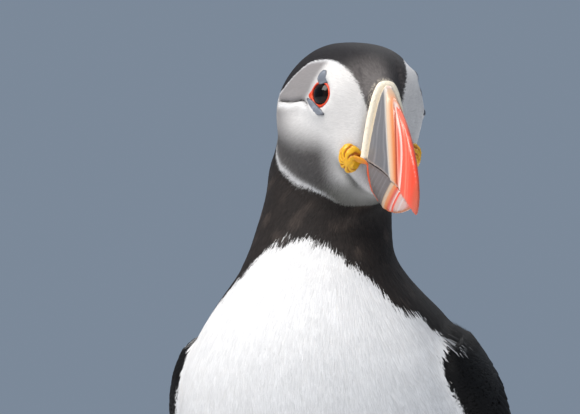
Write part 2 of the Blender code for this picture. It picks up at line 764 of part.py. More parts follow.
def main():
    for obj in list(bpy.data.objects):
        bpy.data.objects.remove(obj, do_unlink=True)
    bird = collection("atlantic_puffin")
    cutters = collection("cutters")
    finishes = {
        "black": material("black_plumage", (0.012, 0.011, 0.012), 0.6),
        "collar": material("collar_plumage", (0.022, 0.018, 0.017), 0.7),
        "white": material("white_plumage", (0.85, 0.84, 0.82), 0.75),
        "face": material("face_plumage", (0.55, 0.54, 0.53), 0.75),
        "bill": material("bill_horn", (0.78, 0.16, 0.07), 0.35),
        "cere": material("cere_skin", (0.72, 0.62, 0.47), 0.55),
        "rosette": material("rosette_skin", (0.9, 0.5, 0.03), 0.45),
        "eye": material("eye_gloss", (0.01, 0.009, 0.009), 0.05),
        "ring": material("lid_skin", (0.75, 0.07, 0.02), 0.45),
        "plate": material("eye_plate_horn", (0.25, 0.28, 0.32), 0.5),
        "leg": material("leg_skin", (0.85, 0.25, 0.03), 0.5),
        "claw": material("claw_horn", (0.02, 0.018, 0.017), 0.35),
    }
    face = build_body(finishes, bird)
    surface = Surface()
    clearance = body_clearance(cutters)
    for side_name, side in SIDES.items():
        build_eye(side_name, side, surface, face, finishes, bird, cutters)
        build_rosette(side_name, side, surface, finishes, bird)
        build_wing(side_name, side, finishes, bird)
        build_foot(side_name, side, finishes, bird)
        build_leg(side_name, side, clearance, finishes, bird)
    build_bill(finishes, bird)
    build_cere(finishes, bird)
    build_tail(finishes, bird)
    stand_on_origin(list(bird.objects))


main()
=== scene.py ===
"""Looks of the standing Atlantic puffin: skin, plumage, bill, eyes and feet round its solids.

Lengths are in millimetres. Places come from the solids' boxes and surfaces, apart from the edges
of the markings, the lines of the bill and the camera's aim, which come from readings of the photo.
Places on the head use its own frame: how far ahead of the top of the bill's base (f), how far
above it (u), and how far to the left of the bird's middle (l).
"""

import math

import bpy
import numpy as np
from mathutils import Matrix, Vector
from mathutils.bvhtree import BVHTree
from mathutils.kdtree import KDTree


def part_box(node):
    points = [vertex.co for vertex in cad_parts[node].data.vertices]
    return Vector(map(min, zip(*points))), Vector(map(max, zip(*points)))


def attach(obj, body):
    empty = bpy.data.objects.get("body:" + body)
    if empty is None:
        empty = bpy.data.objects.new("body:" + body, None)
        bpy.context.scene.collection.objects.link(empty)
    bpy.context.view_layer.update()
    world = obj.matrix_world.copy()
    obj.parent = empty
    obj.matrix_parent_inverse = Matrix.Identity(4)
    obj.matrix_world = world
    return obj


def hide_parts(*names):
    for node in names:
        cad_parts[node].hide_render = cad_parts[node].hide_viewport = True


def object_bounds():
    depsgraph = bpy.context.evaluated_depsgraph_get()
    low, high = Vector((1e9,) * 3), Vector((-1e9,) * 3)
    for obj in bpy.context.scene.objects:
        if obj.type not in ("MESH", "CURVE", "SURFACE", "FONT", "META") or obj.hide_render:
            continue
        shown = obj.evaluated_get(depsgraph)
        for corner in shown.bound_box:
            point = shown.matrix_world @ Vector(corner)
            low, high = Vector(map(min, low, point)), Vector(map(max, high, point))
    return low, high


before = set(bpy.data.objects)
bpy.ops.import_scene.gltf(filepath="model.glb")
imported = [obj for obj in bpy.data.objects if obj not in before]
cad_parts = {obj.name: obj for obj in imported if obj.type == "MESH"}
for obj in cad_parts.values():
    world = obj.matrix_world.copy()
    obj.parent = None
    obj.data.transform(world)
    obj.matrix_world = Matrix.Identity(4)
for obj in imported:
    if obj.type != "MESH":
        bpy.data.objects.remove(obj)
CAD_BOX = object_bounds()

MM = 0.001
UP = np.array((0.0, 0.0, 1.0))
LEFT = np.array((1.0, 0.0, 0.0))
SIDES = {"left": 1.0, "right": -1.0}
WING_PARTS = ("wing_coverts_", "wing_secondaries_", "wing_primaries_")

# The head's own frame: its pitch, and the top of the bill's base from the middle of the eyes.
HEAD_PITCH = math.radians(15.0)
BILL_ROOT_AHEAD = 15.37
BILL_ROOT_ABOVE = 8.13

rng = np.random.default_rng(7)


# ---------------------------------------------------------------- numbers

def unit(vectors):
    vectors = np.asarray(vectors, float)
    return vectors / np.maximum(np.linalg.norm(vectors, axis=-1, keepdims=True), 1e-9)


def ease(x, low, high):
    """0 below low, 1 above high, and a smooth step between."""
    t = np.clip((np.asarray(x, float) - low) / (high - low), 0.0, 1.0)
    return t * t * (3 - 2 * t)


def bell(x, width):
    return np.exp(-(np.asarray(x, float) / width) ** 2)


def mix(a, b, share):
    share = np.asarray(share, float)[..., None]
    return np.asarray(a, float) * (1 - share) + np.asarray(b, float) * share


def colour(red, green, blue):
    """Linear light from a colour as a screen shows it, each part from 0 to 255."""
    parts = np.array((red, green, blue)) / 255.0
    return np.where(parts <= 0.04045, parts / 12.92, ((parts + 0.055) / 1.055) ** 2.4)


def painted(tone, *layers):
    """A colour after these layers, each a colour and how much of it goes over the last."""
    for over, share in layers:
        tone = mix(tone, over, share)
    return tone


def flattened(vectors, normals):
    """What is left of each vector without its part along the normal there."""
    return vectors - normals * (vectors * normals).sum(1, keepdims=True)


def curved(t, start, end, leaving, arriving, span=1.0):
    """Value at share t of a smooth curve between two ends a span apart, with its slope at each
    of them."""
    return ((2 * t ** 3 - 3 * t ** 2 + 1) * start + (t ** 3 - 2 * t ** 2 + t) * span * leaving
            + (3 * t ** 2 - 2 * t ** 3) * end + (t ** 3 - t ** 2) * span * arriving)


def along_curve(places, x):
    """Value at x on a smooth curve through a few (x, value) places."""
    xs, ys = np.array(places, float).T
    slopes = np.gradient(ys, xs)
    x = np.clip(x, xs[0], xs[-1])
    i = np.clip(np.searchsorted(xs, x) - 1, 0, len(xs) - 2)
    h = xs[i + 1] - xs[i]
    return curved((x - xs[i]) / h, ys[i], ys[i + 1], slopes[i], slopes[i + 1], h)


def smoothed(line, times):
    """A line of places with its kinks eased out, between ends that stay."""
    for _ in range(times):
        line[1:-1] = (line[:-2] + 2 * line[1:-1] + line[2:]) / 4
    return line


def lumps(points, size, seed=0.0):
    """Smooth irregular value from about -1 to 1, varying over this many millimetres."""
    p = np.asarray(points, float) / size + seed
    x, y, z = p[..., 0], p[..., 1], p[..., 2]
    return (np.sin(1.7 * x + 2.3 * np.sin(1.1 * y + z))
            + np.sin(2.1 * y + 1.9 * np.sin(1.3 * z - x))
            + np.sin(1.9 * z + 2.1 * np.sin(1.2 * x + 0.7 * y))) / 3


# ---------------------------------------------------------------- the head's frame

def middle(node):
    low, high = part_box(node)
    return (np.array(low) + np.array(high)) / 2 / MM


EYES = {name: middle("eye_" + name) for name in SIDES}
HEAD_L = unit(EYES["left"] - EYES["right"])
LEVEL_AHEAD = np.array((HEAD_L[1], -HEAD_L[0], 0.0))
HEAD_F = LEVEL_AHEAD * math.cos(HEAD_PITCH) - UP * math.sin(HEAD_PITCH)
HEAD_U = LEVEL_AHEAD * math.sin(HEAD_PITCH) + UP * math.cos(HEAD_PITCH)
BILL_ROOT = ((EYES["left"] + EYES["right"]) / 2 + BILL_ROOT_AHEAD * HEAD_F
             + BILL_ROOT_ABOVE * HEAD_U)
HEAD_AXIS_BELOW = 18.0


def on_head(points):
    """The f, u and l of these places."""
    apart = np.asarray(points, float) - BILL_ROOT
    return apart @ HEAD_F, apart @ HEAD_U, apart @ HEAD_L


# ---------------------------------------------------------------- meshes

def solid(node):
    """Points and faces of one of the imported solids."""
    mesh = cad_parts[node].data
    points = np.empty(len(mesh.vertices) * 3, np.float32)
    mesh.vertices.foreach_get("co", points)
    return points.reshape(-1, 3).astype(float) / MM, [tuple(p.vertices) for p in mesh.polygons]


def joined(nodes):
    points, faces, owners = [], [], []
    for number, node in enumerate(nodes):
        more, polygons = solid(node)
        start = sum(len(p) for p in points)
        faces += [tuple(start + i for i in polygon) for polygon in polygons]
        owners += [number] * len(polygons)
        points.append(more)
    return np.concatenate(points), faces, np.array(owners)


def new_piece(name, points, faces, finish, layers, uv=None, facing=None):
    """A piece from points and one or more arrays of equal-sided faces, with its layers of
    values for each point, and the way each point faces where that isn't plain from its faces."""
    mesh = bpy.data.meshes.new(name)
    groups = faces if isinstance(faces, list) else [faces]
    loops = np.concatenate([group.ravel() for group in groups]).astype(np.int32)
    sides = np.concatenate([np.full(len(group), group.shape[1]) for group in groups])
    starts = np.concatenate(([0], np.cumsum(sides)[:-1])).astype(np.int32)
    mesh.vertices.add(len(points))
    mesh.vertices.foreach_set("co", (np.asarray(points) * MM).astype(np.float32).ravel())
    mesh.loops.add(len(loops))
    mesh.loops.foreach_set("vertex_index", loops)
    mesh.polygons.add(len(starts))
    mesh.polygons.foreach_set("loop_start", starts)
    mesh.update(calc_edges=True)
    mesh.shade_smooth()
    if facing is not None:
        mesh.normals_split_custom_set_from_vertices(facing.astype(np.float32))
    for layer, values in layers.items():
        if values.ndim == 1:
            made = mesh.attributes.new(layer, "FLOAT", "POINT")
            made.data.foreach_set("value", values.astype(np.float32))
        else:
            made = mesh.attributes.new(layer, "FLOAT_COLOR", "POINT")
            filled = np.ones((len(values), 4), np.float32)
            filled[:, :3] = values
            made.data.foreach_set("color", filled.ravel())
    if uv is not None:
        baked = mesh.uv_layers.new(name="OFBake")
        baked.data.foreach_set("uv", uv[loops].astype(np.float32).ravel())
    mesh.materials.append(finish)
    piece = bpy.data.objects.new(name, mesh)
    bpy.context.scene.collection.objects.link(piece)
    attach(piece, "root")
    return piece


def marked_piece(name, net, finish, tone):
    return new_piece(name, net.points, net.faces, finish, {"marking": tone})


def evened(points, faces, voxel):
    """One closed surface round all of these faces, in quads about a voxel wide."""
    mesh = bpy.data.meshes.new("rough")
    mesh.from_pydata((points * MM).tolist(), [], faces)
    rough = bpy.data.objects.new("rough", mesh)
    bpy.context.scene.collection.objects.link(rough)
    remesh = rough.modifiers.new("even", "REMESH")
    remesh.mode = "VOXEL"
    remesh.voxel_size = voxel * MM
    remesh.adaptivity = 0.0
    graph = bpy.context.evaluated_depsgraph_get()
    fine = rough.evaluated_get(graph).to_mesh()
    points = np.empty(len(fine.vertices) * 3, np.float32)
    fine.vertices.foreach_get("co", points)
    corners = np.empty(len(fine.loops), np.int32)
    fine.loops.foreach_get("vertex_index", corners)
    rough.evaluated_get(graph).to_mesh_clear()
    bpy.data.objects.remove(rough, do_unlink=True)
    bpy.data.meshes.remove(mesh)
    return Net(points.reshape(-1, 3).astype(float) / MM, corners.reshape(-1, 4))


def remeshed(nodes, voxel, times=0):
    points, faces, _ = joined(nodes)
    net = evened(points, faces, voxel)
    net.points = net.relaxed(net.points, times)
    return net


def bridged(nodes, voxel, swell):
    """One surface this far outside the solids, so that the gaps between them close."""
    net = remeshed(nodes, voxel)
    net.swell(swell)
    return evened(net.points, net.faces.tolist(), voxel)


# When the solver for smooth values gives up, and the remainder that it stops at.
MOST_STEPS = 900
SMALL_ENOUGH = 1e-9


class Net:
    """A closed mesh of quads, and what is worked out by going from point to point on it."""

    def __init__(self, points, faces):
        self.points = points
        self.faces = faces
        sides = np.concatenate([faces[:, [k, (k + 1) % 4]] for k in range(4)])
        sides = np.unique(np.sort(sides, axis=1), axis=0)
        self.a, self.b = sides.T
        self.degree = np.maximum(np.bincount(sides.ravel(), minlength=len(points)), 1.0)

    def gathered(self, at_a, at_b):
        """Sum over each point's edges of what those edges carry to their two ends."""
        count = len(self.points)
        if at_a.ndim == 1:
            return np.bincount(self.a, at_a, count) + np.bincount(self.b, at_b, count)
        return np.stack([self.gathered(at_a[:, k], at_b[:, k]) for k in range(at_a.shape[1])], 1)

    def around(self, values):
        """Mean of each point's neighbours."""
        total = self.gathered(values[self.b], values[self.a])
        return total / (self.degree if values.ndim == 1 else self.degree[:, None])

    def relaxed(self, values, times, share=0.5):
        share = np.broadcast_to(np.asarray(share, float), (len(self.points),))
        share = share if values.ndim == 1 else share[:, None]
        for _ in range(times):
            values = values + share * (self.around(values) - values)
        return values

    def swell(self, amount):
        """Moves every point outward, by one amount or each by its own."""
        self.points = self.points + self.normals() * np.reshape(amount, (-1, 1))

    def normals(self):
        p = self.points[self.faces]
        face = np.cross(p[:, 2] - p[:, 0], p[:, 3] - p[:, 1])
        total = np.zeros_like(self.points)
        for k in range(4):
            for axis in range(3):
                total[:, axis] += np.bincount(self.faces[:, k], face[:, axis], len(total))
        return unit(total)

    def harmonic(self, fixed, values):
        """The smoothest values that meet the fixed ones, by conjugate gradients."""
        free = ~fixed

        def pull(x):
            return np.where(free, self.degree * x - self.gathered(x[self.b], x[self.a]), 0.0)

        x = np.where(fixed, values, 0.5)
        rest = -pull(x)
        step = rest.copy()
        size = rest @ rest
        for _ in range(MOST_STEPS):
            change = pull(step)
            share = size / max(step @ change, 1e-30)
            x += share * step
            rest -= share * change
            last, size = size, rest @ rest
            if size < SMALL_ENOUGH:
                break
            step = rest + size / last * step
        return x

    def slope(self, values, normals):
        """Unit direction along the surface in which the values rise."""
        apart = self.points[self.b] - self.points[self.a]
        rise = (values[self.b] - values[self.a]) / np.maximum((apart ** 2).sum(1), 1e-9)
        pull = rise[:, None] * apart
        total = self.gathered(pull, pull)
        for _ in range(6):
            total = self.relaxed(unit(flattened(total, normals)), 2)
        return unit(flattened(total, normals))


class Cover:
    """Nearest places on a surface."""

    def __init__(self, points, faces):
        faces = faces if isinstance(faces, list) else faces.tolist()
        self.tree = BVHTree.FromPolygons(points.tolist(), faces)

    def nearest(self, places):
        """Places, normals, face numbers and distances."""
        found = [self.tree.find_nearest(place) for place in np.asarray(places).tolist()]
        return [np.array(column) for column in zip(*found)]


def tree_round(meshes):
    """One search tree over several meshes, each its points and its groups of faces."""
    points, polygons = [], []
    for more, groups in meshes:
        start = sum(len(p) for p in points)
        polygons += [tuple(start + i for i in face) for group in groups for face in group.tolist()]
        points.append(more)
    return BVHTree.FromPolygons(np.concatenate(points).tolist(), polygons)


def distance_from(tree, points, within):
    """Distance from each place to what is in the tree, or the limit where it is further."""
    found = [tree.find_nearest(p, within)[3] for p in np.asarray(points).tolist()]
    return np.array([within if far is None else far for far in found])


def distance_to(nodes, points, within):
    """Distance from each place to these solids, or the limit where it is further."""
    solids, faces, _ = joined(nodes)
    return distance_from(Cover(solids, faces).tree, points, within)


def tree_of(places):
    """A search tree over places, which gives back their numbers."""
    tree = KDTree(len(places))
    for number, place in enumerate(places.tolist()):
        tree.insert(place, number)
    tree.balance()
    return tree


def tube(line, across, out, wide, high, sides, closed=False):
    """A flattened tube along a line, this wide and high at each place on it."""
    turn = 2 * np.pi * np.arange(sides) / sides
    ring = (np.cos(turn)[None, :, None] * across[:, None] * wide[:, None, None]
            + np.sin(turn)[None, :, None] * out[:, None] * high[:, None, None])
    points = (line[:, None] + ring).reshape(-1, 3)
    index = np.arange(len(points)).reshape(len(line), sides)
    start, end = (index, np.roll(index, -1, axis=0)) if closed else (index[:-1], index[1:])
    quads = np.stack((start, end, np.roll(end, -1, axis=1), np.roll(start, -1, axis=1)), -1)
    quads = quads.reshape(-1, 4)
    if closed:
        return points, [quads]
    points = np.concatenate((points, line[:1], line[-1:]))
    ring = np.roll(index, -1, axis=1)
    first = np.stack((np.full(sides, len(points) - 2), index[0], ring[0]), 1)
    last = np.stack((np.full(sides, len(points) - 1), ring[-1], index[-1]), 1)
    return points, [quads, np.concatenate((first, last))]


# ---------------------------------------------------------------- markings, with painted shade and sheen

# CROWN_EDGE, CHEEK_EDGE, EYE_FURROW and BREAST_EDGE follow readings of the photo: rays cast through
# points on it gave where they met the solids. A few places are those readings and the rest were
# put between or beyond them, all then rounded to halves.

# Edges of the pale face, as (f, degrees round the head's axis from its top).
CROWN_EDGE = ((-44.0, 98.0), (-40.0, 78.0), (-36.0, 70.5), (-32.0, 56.0), (-28.0, 40.5),
              (-24.0, 35.0), (-20.0, 30.5), (-14.0, 27.0), (-8.0, 25.0), (-3.0, 26.0), (1.0, 33.0))
CHEEK_EDGE = ((-44.0, 98.0), (-42.5, 112.0), (-40.0, 122.5), (-35.0, 130.0), (-29.5, 134.0),
              (-24.0, 139.5), (-18.0, 147.0), (-14.0, 156.5), (-11.0, 172.0), (-9.0, 186.0),
              (1.0, 200.0))
THROAT_LEVEL = -42.0
FACE_BACK = -44.5

# The fold behind the eye, as (f, u), and where along f it begins and ends.
EYE_FURROW = ((-35.5, -14.5), (-31.0, -13.5), (-26.5, -12.5), (-23.0, -11.0), (-18.5, -11.5))
FURROW_BACK = (-38.0, -34.0)
FURROW_FRONT = (-19.5, -18.0)

# Top of the white breast, as (degrees round the trunk from its front, height).
BREAST_EDGE = ((0.0, 159.0), (10.0, 158.0), (20.0, 155.0), (28.0, 150.5), (35.0, 145.5),
               (42.0, 141.0), (50.0, 138.0), (57.0, 136.0), (65.0, 131.0), (72.0, 127.0),
               (80.0, 124.0), (90.0, 116.0), (120.0, 82.0), (150.0, 62.0), (180.0, 46.0))

# Heights over which one colour passes into the next.
THROAT_FADE = (160.0, 164.0)
COLLAR_FADE = (176.0, 190.0)
MANTLE_FADE = (120.0, 150.0)
VENT_FADE = (40.0, 48.0)

# The way out from the black rump, above the vent and level with it.
RUMP_OUT = (0.0, 0.9, 0.42)
VENT_OUT = (0.0, 0.35, 0.94)

TRUNK_AXIS_Y = -15.0
# How far into the wing the breast feathers reach over it: 0.5 is its edge, and 1 well inside.
WING_EDGE = 0.8

CROWN_BLACK = colour(36, 34, 36)
# Grey of the forehead: its paler feathers with a painted sheen.
FOREHEAD_GREY_AND_SHEEN = colour(120, 114, 112)
COLLAR_BROWN = colour(37, 32, 30)
COLLAR_WORN = colour(66, 57, 52)
WING_BLACK = colour(7, 6, 7)
BREAST_WHITE = colour(221, 220, 220)
FACE_WHITE = colour(216, 213, 211)
# Grey of the lower cheek: its own grey, deepened by painted shade.
CHEEK_GREY_AND_SHADE = colour(79, 76, 75)
NAPE_GREY = colour(140, 136, 136)
CHIN_GREY = colour(110, 109, 103)
RIM_WHITE = colour(226, 226, 228)
# Painted shade in the fold under the chin.
CHIN_FOLD_SHADE = colour(60, 58, 52)
# Painted shade in the crease of the fold behind the eye.
FURROW_SHADE = colour(30, 26, 26)
BRISTLE = colour(208, 198, 184)


def face_angle(u, l):
    return np.degrees(np.arctan2(np.abs(l), u + HEAD_AXIS_BELOW))


def face_inset(points):
    """How far inside the pale face these places are: from its top edge, and from its lower one."""
    f, u, l = on_head(points)
    angle = face_angle(u, l)
    to_mm = np.hypot(l, u + HEAD_AXIS_BELOW) * math.pi / 180
    below_crown = (angle - along_curve(CROWN_EDGE, f)) * to_mm
    above_collar = np.minimum((along_curve(CHEEK_EDGE, f) - angle) * to_mm, u - THROAT_LEVEL)
    before_back = f - FACE_BACK
    return np.minimum(below_crown, before_back), np.minimum(above_collar, before_back)


def furrow_distance(points):
    """How far above the fold behind the eye, and whether level with it."""
    f, u, _ = on_head(points)
    level = ease(f, *FURROW_BACK) * (1 - ease(f, *FURROW_FRONT))
    return u - along_curve(EYE_FURROW, f), level


def chin_fold(f, u, width, height):
    """1 along the slanting fold where the chin meets the cheek, and 0 away from it."""
    return bell(f + 3.5 + 0.55 * (u + 29), width) * bell(u + 30, height)


def face_colour(points):
    f, u, l = on_head(points)
    angle = face_angle(u, l)
    below_crown, above_collar = face_inset(points)
    above_fold, level = furrow_distance(points)
    # The lower cheek turns grey: partly its own grey, partly painted shade that deepens down and
    # back, away from the light above.
    grey_and_shaded_cheek = ease(angle, 84, 120) * ease(-f, 3, 14)
    # The rear cheek below the fold is greyed too: partly its own grey, partly painted shade.
    grey_and_shaded_rear = ease(-f, 20, 36) * ease(-above_fold, 0, 4) * (1 - grey_and_shaded_cheek)
    chin = ease(angle, 138, 158) * ease(-f, -4, 4)
    # A white fringe along the face's lower edge, brightened by a painted highlight where it catches
    # the light.
    rim = 0.6 * bell(above_collar - 0.4, 0.8) * ease(-f, 12, 17)
    top_rim = bell(below_crown - 0.3, 0.7) * ease(-f, 10, 16)
    return painted(FACE_WHITE,
                   (NAPE_GREY, ease(-f, 17.5, 21.5) * ease(above_fold, -0.6, 0.8)),
                   (CHEEK_GREY_AND_SHADE, grey_and_shaded_cheek),
                   (NAPE_GREY * 0.85, 0.85 * grey_and_shaded_rear),
                   (CHIN_GREY, 0.75 * chin),
                   # Painted shade in the fold where the chin meets the cheek.
                   (CHIN_FOLD_SHADE, 0.75 * chin_fold(f, u, 2.2, 4.5)),
                   # Painted shade in the crease of the fold behind the eye.
                   (FURROW_SHADE, level * bell(above_fold, 0.45)),
                   (RIM_WHITE, 0.6 * level * bell(above_fold + 1.3, 0.6)),
                   (RIM_WHITE, rim),
                   (RIM_WHITE, 0.7 * top_rim))


def dark_colour(points):
    """Crown, collar and back."""
    f, u, l = on_head(points)
    height = points[:, 2]
    # Grey over the front of the crown: partly its paler feathers, partly a painted sheen, stronger
    # on the bird's right, the side the light comes from.
    frosting_and_sheen = ease(f, -17.0, -1.0) * (1 - 0.75 * ease(l, -1.5, 4.5)) * ease(u, -8, -2)
    crown = mix(CROWN_BLACK, FOREHEAD_GREY_AND_SHEEN, 0.8 * frosting_and_sheen)
    worn = mix(COLLAR_BROWN, COLLAR_WORN, 0.6 * ease(lumps(points, 3.5), 0.2, 0.9))
    return painted(crown, (worn, 1 - ease(height, *COLLAR_FADE)),
                   (WING_BLACK, 1 - ease(height, *MANTLE_FADE)))


def breast_inset(points):
    """How far below the white breast's edge these places are."""
    x, y, z = points.T
    turn = np.degrees(np.arctan2(np.abs(x - 1.5 * ease(z, 110, 150)), TRUNK_AXIS_Y - y))
    return along_curve(BREAST_EDGE, turn) - z


def markings_and_painted_light(points, normals, jitter, wing):
    """Plumage colour at these places, with painted shade, sheen and highlight on the head. The skin
    and the feathers over it share it.
    """
    height = points[:, 2]
    inside = ease(np.minimum(*face_inset(points)) + jitter, -0.35, 0.35)
    tone = mix(dark_colour(points), face_colour(points), inside * ease(height, *THROAT_FADE))
    low = 1 - ease(height, *VENT_FADE)
    rump_side = (normals * mix(RUMP_OUT, VENT_OUT, low)).sum(1)
    white = ease(breast_inset(points) + 2.2 * lumps(points, 3.0) + 2.5 * jitter, -0.8, 0.8)
    behind = ease(points[:, 1], TRUNK_AXIS_Y, TRUNK_AXIS_Y + 10.0) * ease(height, 42.0, 50.0)
    white *= 1 - behind * ease(rump_side - 0.28 + 0.13 * low - 0.1 * jitter, -0.05, 0.05)
    over = wing + 0.1 * jitter + 0.18 * ease(height, 104.0, 124.0)
    white *= 1 - ease(over, WING_EDGE - 0.06, WING_EDGE + 0.06)
    return mix(tone, BREAST_WHITE, white)


# ---------------------------------------------------------------- materials

class Finish:
    """A material, and the nodes that feed it."""

    def __init__(self, name, roughness, **uniform):
        self.material = bpy.data.materials.new(name)
        self.material.use_nodes = True
        self.shader = self.material.node_tree.nodes["Principled BSDF"]
        for socket, value in {"Roughness": roughness, **uniform}.items():
            self.shader.inputs[socket.replace("_", " ")].default_value = value

    def node(self, kind, inputs, **settings):
        """The outputs of a new node, its inputs set to these values or joined to these sockets."""
        made = self.material.node_tree.nodes.new("ShaderNode" + kind)
        for setting, value in settings.items():
            setattr(made, setting, value)
        for socket, value in inputs.items():
            if isinstance(value, bpy.types.NodeSocket):
                self.material.node_tree.links.new(value, made.inputs[socket])
            else:
                made.inputs[socket].default_value = value
        return made.outputs

    def feed(self, socket, value):
        self.material.node_tree.links.new(value, self.shader.inputs[socket])

    def layer(self, name):
        """A layer of the piece's own values."""
        return self.node("Attribute", {}, attribute_type="GEOMETRY", attribute_name=name)

    def noise(self, scale, detail=3.0):
        """Noise over the place in space: scale is in lumps for each millimetre."""
        where = self.node("TexCoord", {})["Object"]
        return self.node("TexNoise", {"Vector": where, "Scale": scale / MM, "Detail": detail,
                                      "Roughness": 0.55})["Fac"]

    def between(self, value, low, high):
        """A value mapped from 0..1 to low..high."""
        return self.node("MapRange", {"Value": value, "To Min": low, "To Max": high})["Result"]

    def scaled(self, tone, value):
        return self.node("VectorMath", {0: tone, "Scale": value}, operation="SCALE")["Vector"]


def marked_finish(name, roughness, grain, spread, bump, **uniform):
    """A finish whose colour is the piece's marking, broken up by fine noise."""
    made = Finish(name, roughness, **uniform)
    fine = made.noise(grain)
    made.feed("Base Color", made.scaled(made.layer("marking")["Color"],
                                        made.between(fine, 1 - spread, 1 + spread)))
    bumps = made.node("Bump", {"Strength": 1.0, "Distance": bump * MM, "Height": fine})
    made.feed("Normal", bumps["Normal"])
    return made.material


def feather_finish(name, roughness, vaned=False, **uniform):
    """Marked like the skin, a little different on each lock, and darker towards its root. A
    vaned feather has fine ribs that slant out from its shaft."""
    made = Finish(name, roughness, **uniform)
    tone = made.scaled(made.layer("marking")["Color"], made.layer("shade")["Fac"])
    tone = made.scaled(tone, made.between(made.noise(4.0, detail=2.0), 0.9, 1.1))
    if vaned:
        ribs = made.node("Math", {0: made.layer("barb")["Fac"]}, operation="SINE")[0]
        ribs = made.between(ribs, 0.5, 1.0)
        tone = made.scaled(tone, made.between(ribs, 0.9, 1.1))
    made.feed("Base Color", tone)
    return made.material


# ---------------------------------------------------------------- skin

TRUNK = ("rump", "abdomen", "breast", "neck", "head")
THIGHS = ("thigh_left", "thigh_right")
WINGS = tuple(part + side for side in SIDES for part in WING_PARTS)
FLESH = TRUNK + THIGHS + WINGS
SKIN_VOXEL = 0.9
# How far outside the solids the skin is made, so that the cuts between them close over.
SWELL = 0.8
# The thickness taken for flesh that a ray doesn't come out of again.
SOLID_THROUGH = 20.0
COAT_DEPTH = {"rump": 1.5, "abdomen": 1.4, "breast": 1.15, "neck": 0.7, "head": 0.28,
              "thigh": 1.1, "wing": 0.9}
BILL_PARTS = ("bill_upper", "bill_lower", "cere")
EYE_PARTS = tuple(part + side for side in SIDES
                  for part in ("eye_ring_", "eye_plate_upper_", "eye_plate_lower_"))
ROSETTES = ("rosette_left", "rosette_right")


class Pelt:
    """A surface that feathers grow from: its points, normals, lie of the coat and its depth."""

    def __init__(self, net, flow, depth, unwrap):
        self.net = net
        self.points = net.points
        self.normals = net.normals()
        self.flow = flow
        self.depth = depth
        self.unwrap = unwrap
        self.cover = Cover(net.points, net.faces)

    def sown(self, density):
        """Roots scattered evenly, with density giving how many to the square millimetre at
        each point: the corners round each root and their shares."""
        quads = self.net.faces
        corners = np.stack((quads[:, [0, 1, 2]], quads[:, [0, 2, 3]]), 1).reshape(-1, 3)
        p = self.points[corners]
        area = np.linalg.norm(np.cross(p[:, 1] - p[:, 0], p[:, 2] - p[:, 0]), axis=1) / 2
        total = np.cumsum(area * density[corners].mean(1))
        count = int(total[-1])
        chosen = np.searchsorted(total, (np.arange(count) + rng.random(count)) / count * total[-1])
        chosen = np.minimum(chosen, len(corners) - 1)
        a, b = np.sqrt(rng.random(count)), rng.random(count)
        return corners[chosen], np.stack((1 - a, a * (1 - b), a * b), 1)

    def at(self, roots, values):
        corners, shares = roots
        picked = values[corners]
        return (picked * (shares if values.ndim == 1 else shares[..., None])).sum(1)


def tube_unwrap(points, along, lateral):
    """Places on a flat map of a tube: turn round its middle line, and share of its length."""
    bins = 60
    level = np.clip((along * bins).astype(int), 0, bins - 1)
    count = np.maximum(np.bincount(level, minlength=bins), 1)
    line = np.stack([np.bincount(level, points[:, k], bins) / count for k in range(3)], 1)
    filled = np.bincount(level, minlength=bins) > 8
    steps = np.arange(bins)
    line = np.stack([np.interp(steps, steps[filled], line[filled, k]) for k in range(3)], 1)
    line = smoothed(line, 4)
    length = np.concatenate(([0], np.cumsum(np.linalg.norm(np.diff(line, axis=0), axis=1))))
    ahead = unit(np.gradient(line, axis=0))
    place = along * bins - 0.5
    centre = np.stack([np.interp(place, steps, line[:, k]) for k in range(3)], 1)
    ahead = np.stack([np.interp(place, steps, ahead[:, k]) for k in range(3)], 1)
    across = unit(flattened(lateral, ahead))
    third = np.cross(ahead, across)
    out = points - centre
    turn = np.arctan2((out * across).sum(1), (out * third).sum(1)) / (2 * math.pi) + 0.5
    return turn, np.interp(place, steps, length) / length[-1]


def region_of(node):
    return node.split("_")[0]


# How far out of an eye's middle the skin round it lies, and how far back and up the ball sits.
SEAT_HEIGHT = 3.4
SEAT_BACK = 0.7
SEAT_UP = 0.3


class EyeSeat:
    """Where an eye sits: its ball's middle, the way it looks out, and ahead and up across it."""

    def __init__(self, side):
        ring = solid("eye_ring_" + side)[0]
        middle_ring = ring.mean(0)
        out = np.linalg.svd(ring - middle_ring, full_matrices=False)[2][2]
        self.out = out * np.sign(out @ HEAD_L * SIDES[side])
        self.ahead = unit(HEAD_F - self.out * (HEAD_F @ self.out))
        self.up = unit(np.cross(self.out, self.ahead)) * SIDES[side]
        self.up = self.up * np.sign(self.up @ HEAD_U)
        self.ball = middle("eye_" + side) - self.ahead * SEAT_BACK + self.up * SEAT_UP

    def height(self, points):
        return (points - self.ball) @ self.out

    def reach(self, points):
        apart = points - self.ball
        return np.hypot(apart @ self.ahead, apart @ self.up)

    def settled(self, pelt, ahead, up, proud):
        """Places across the seat, this far proud of the skin there."""
        above, inward = self.place(ahead, up, 9.0 + 0 * ahead), (-self.out).tolist()
        heights = np.array([pelt.cover.tree.ray_cast(place, inward, 9.0)[3] or 5.0
                            for place in above.tolist()])
        return above - self.out * (heights - proud)[:, None]

    def place(self, ahead, up, out):
        ahead, up, out = (np.asarray(value, float)[..., None] for value in (ahead, up, out))
        return self.ball + ahead * self.ahead + up * self.up + out * self.out


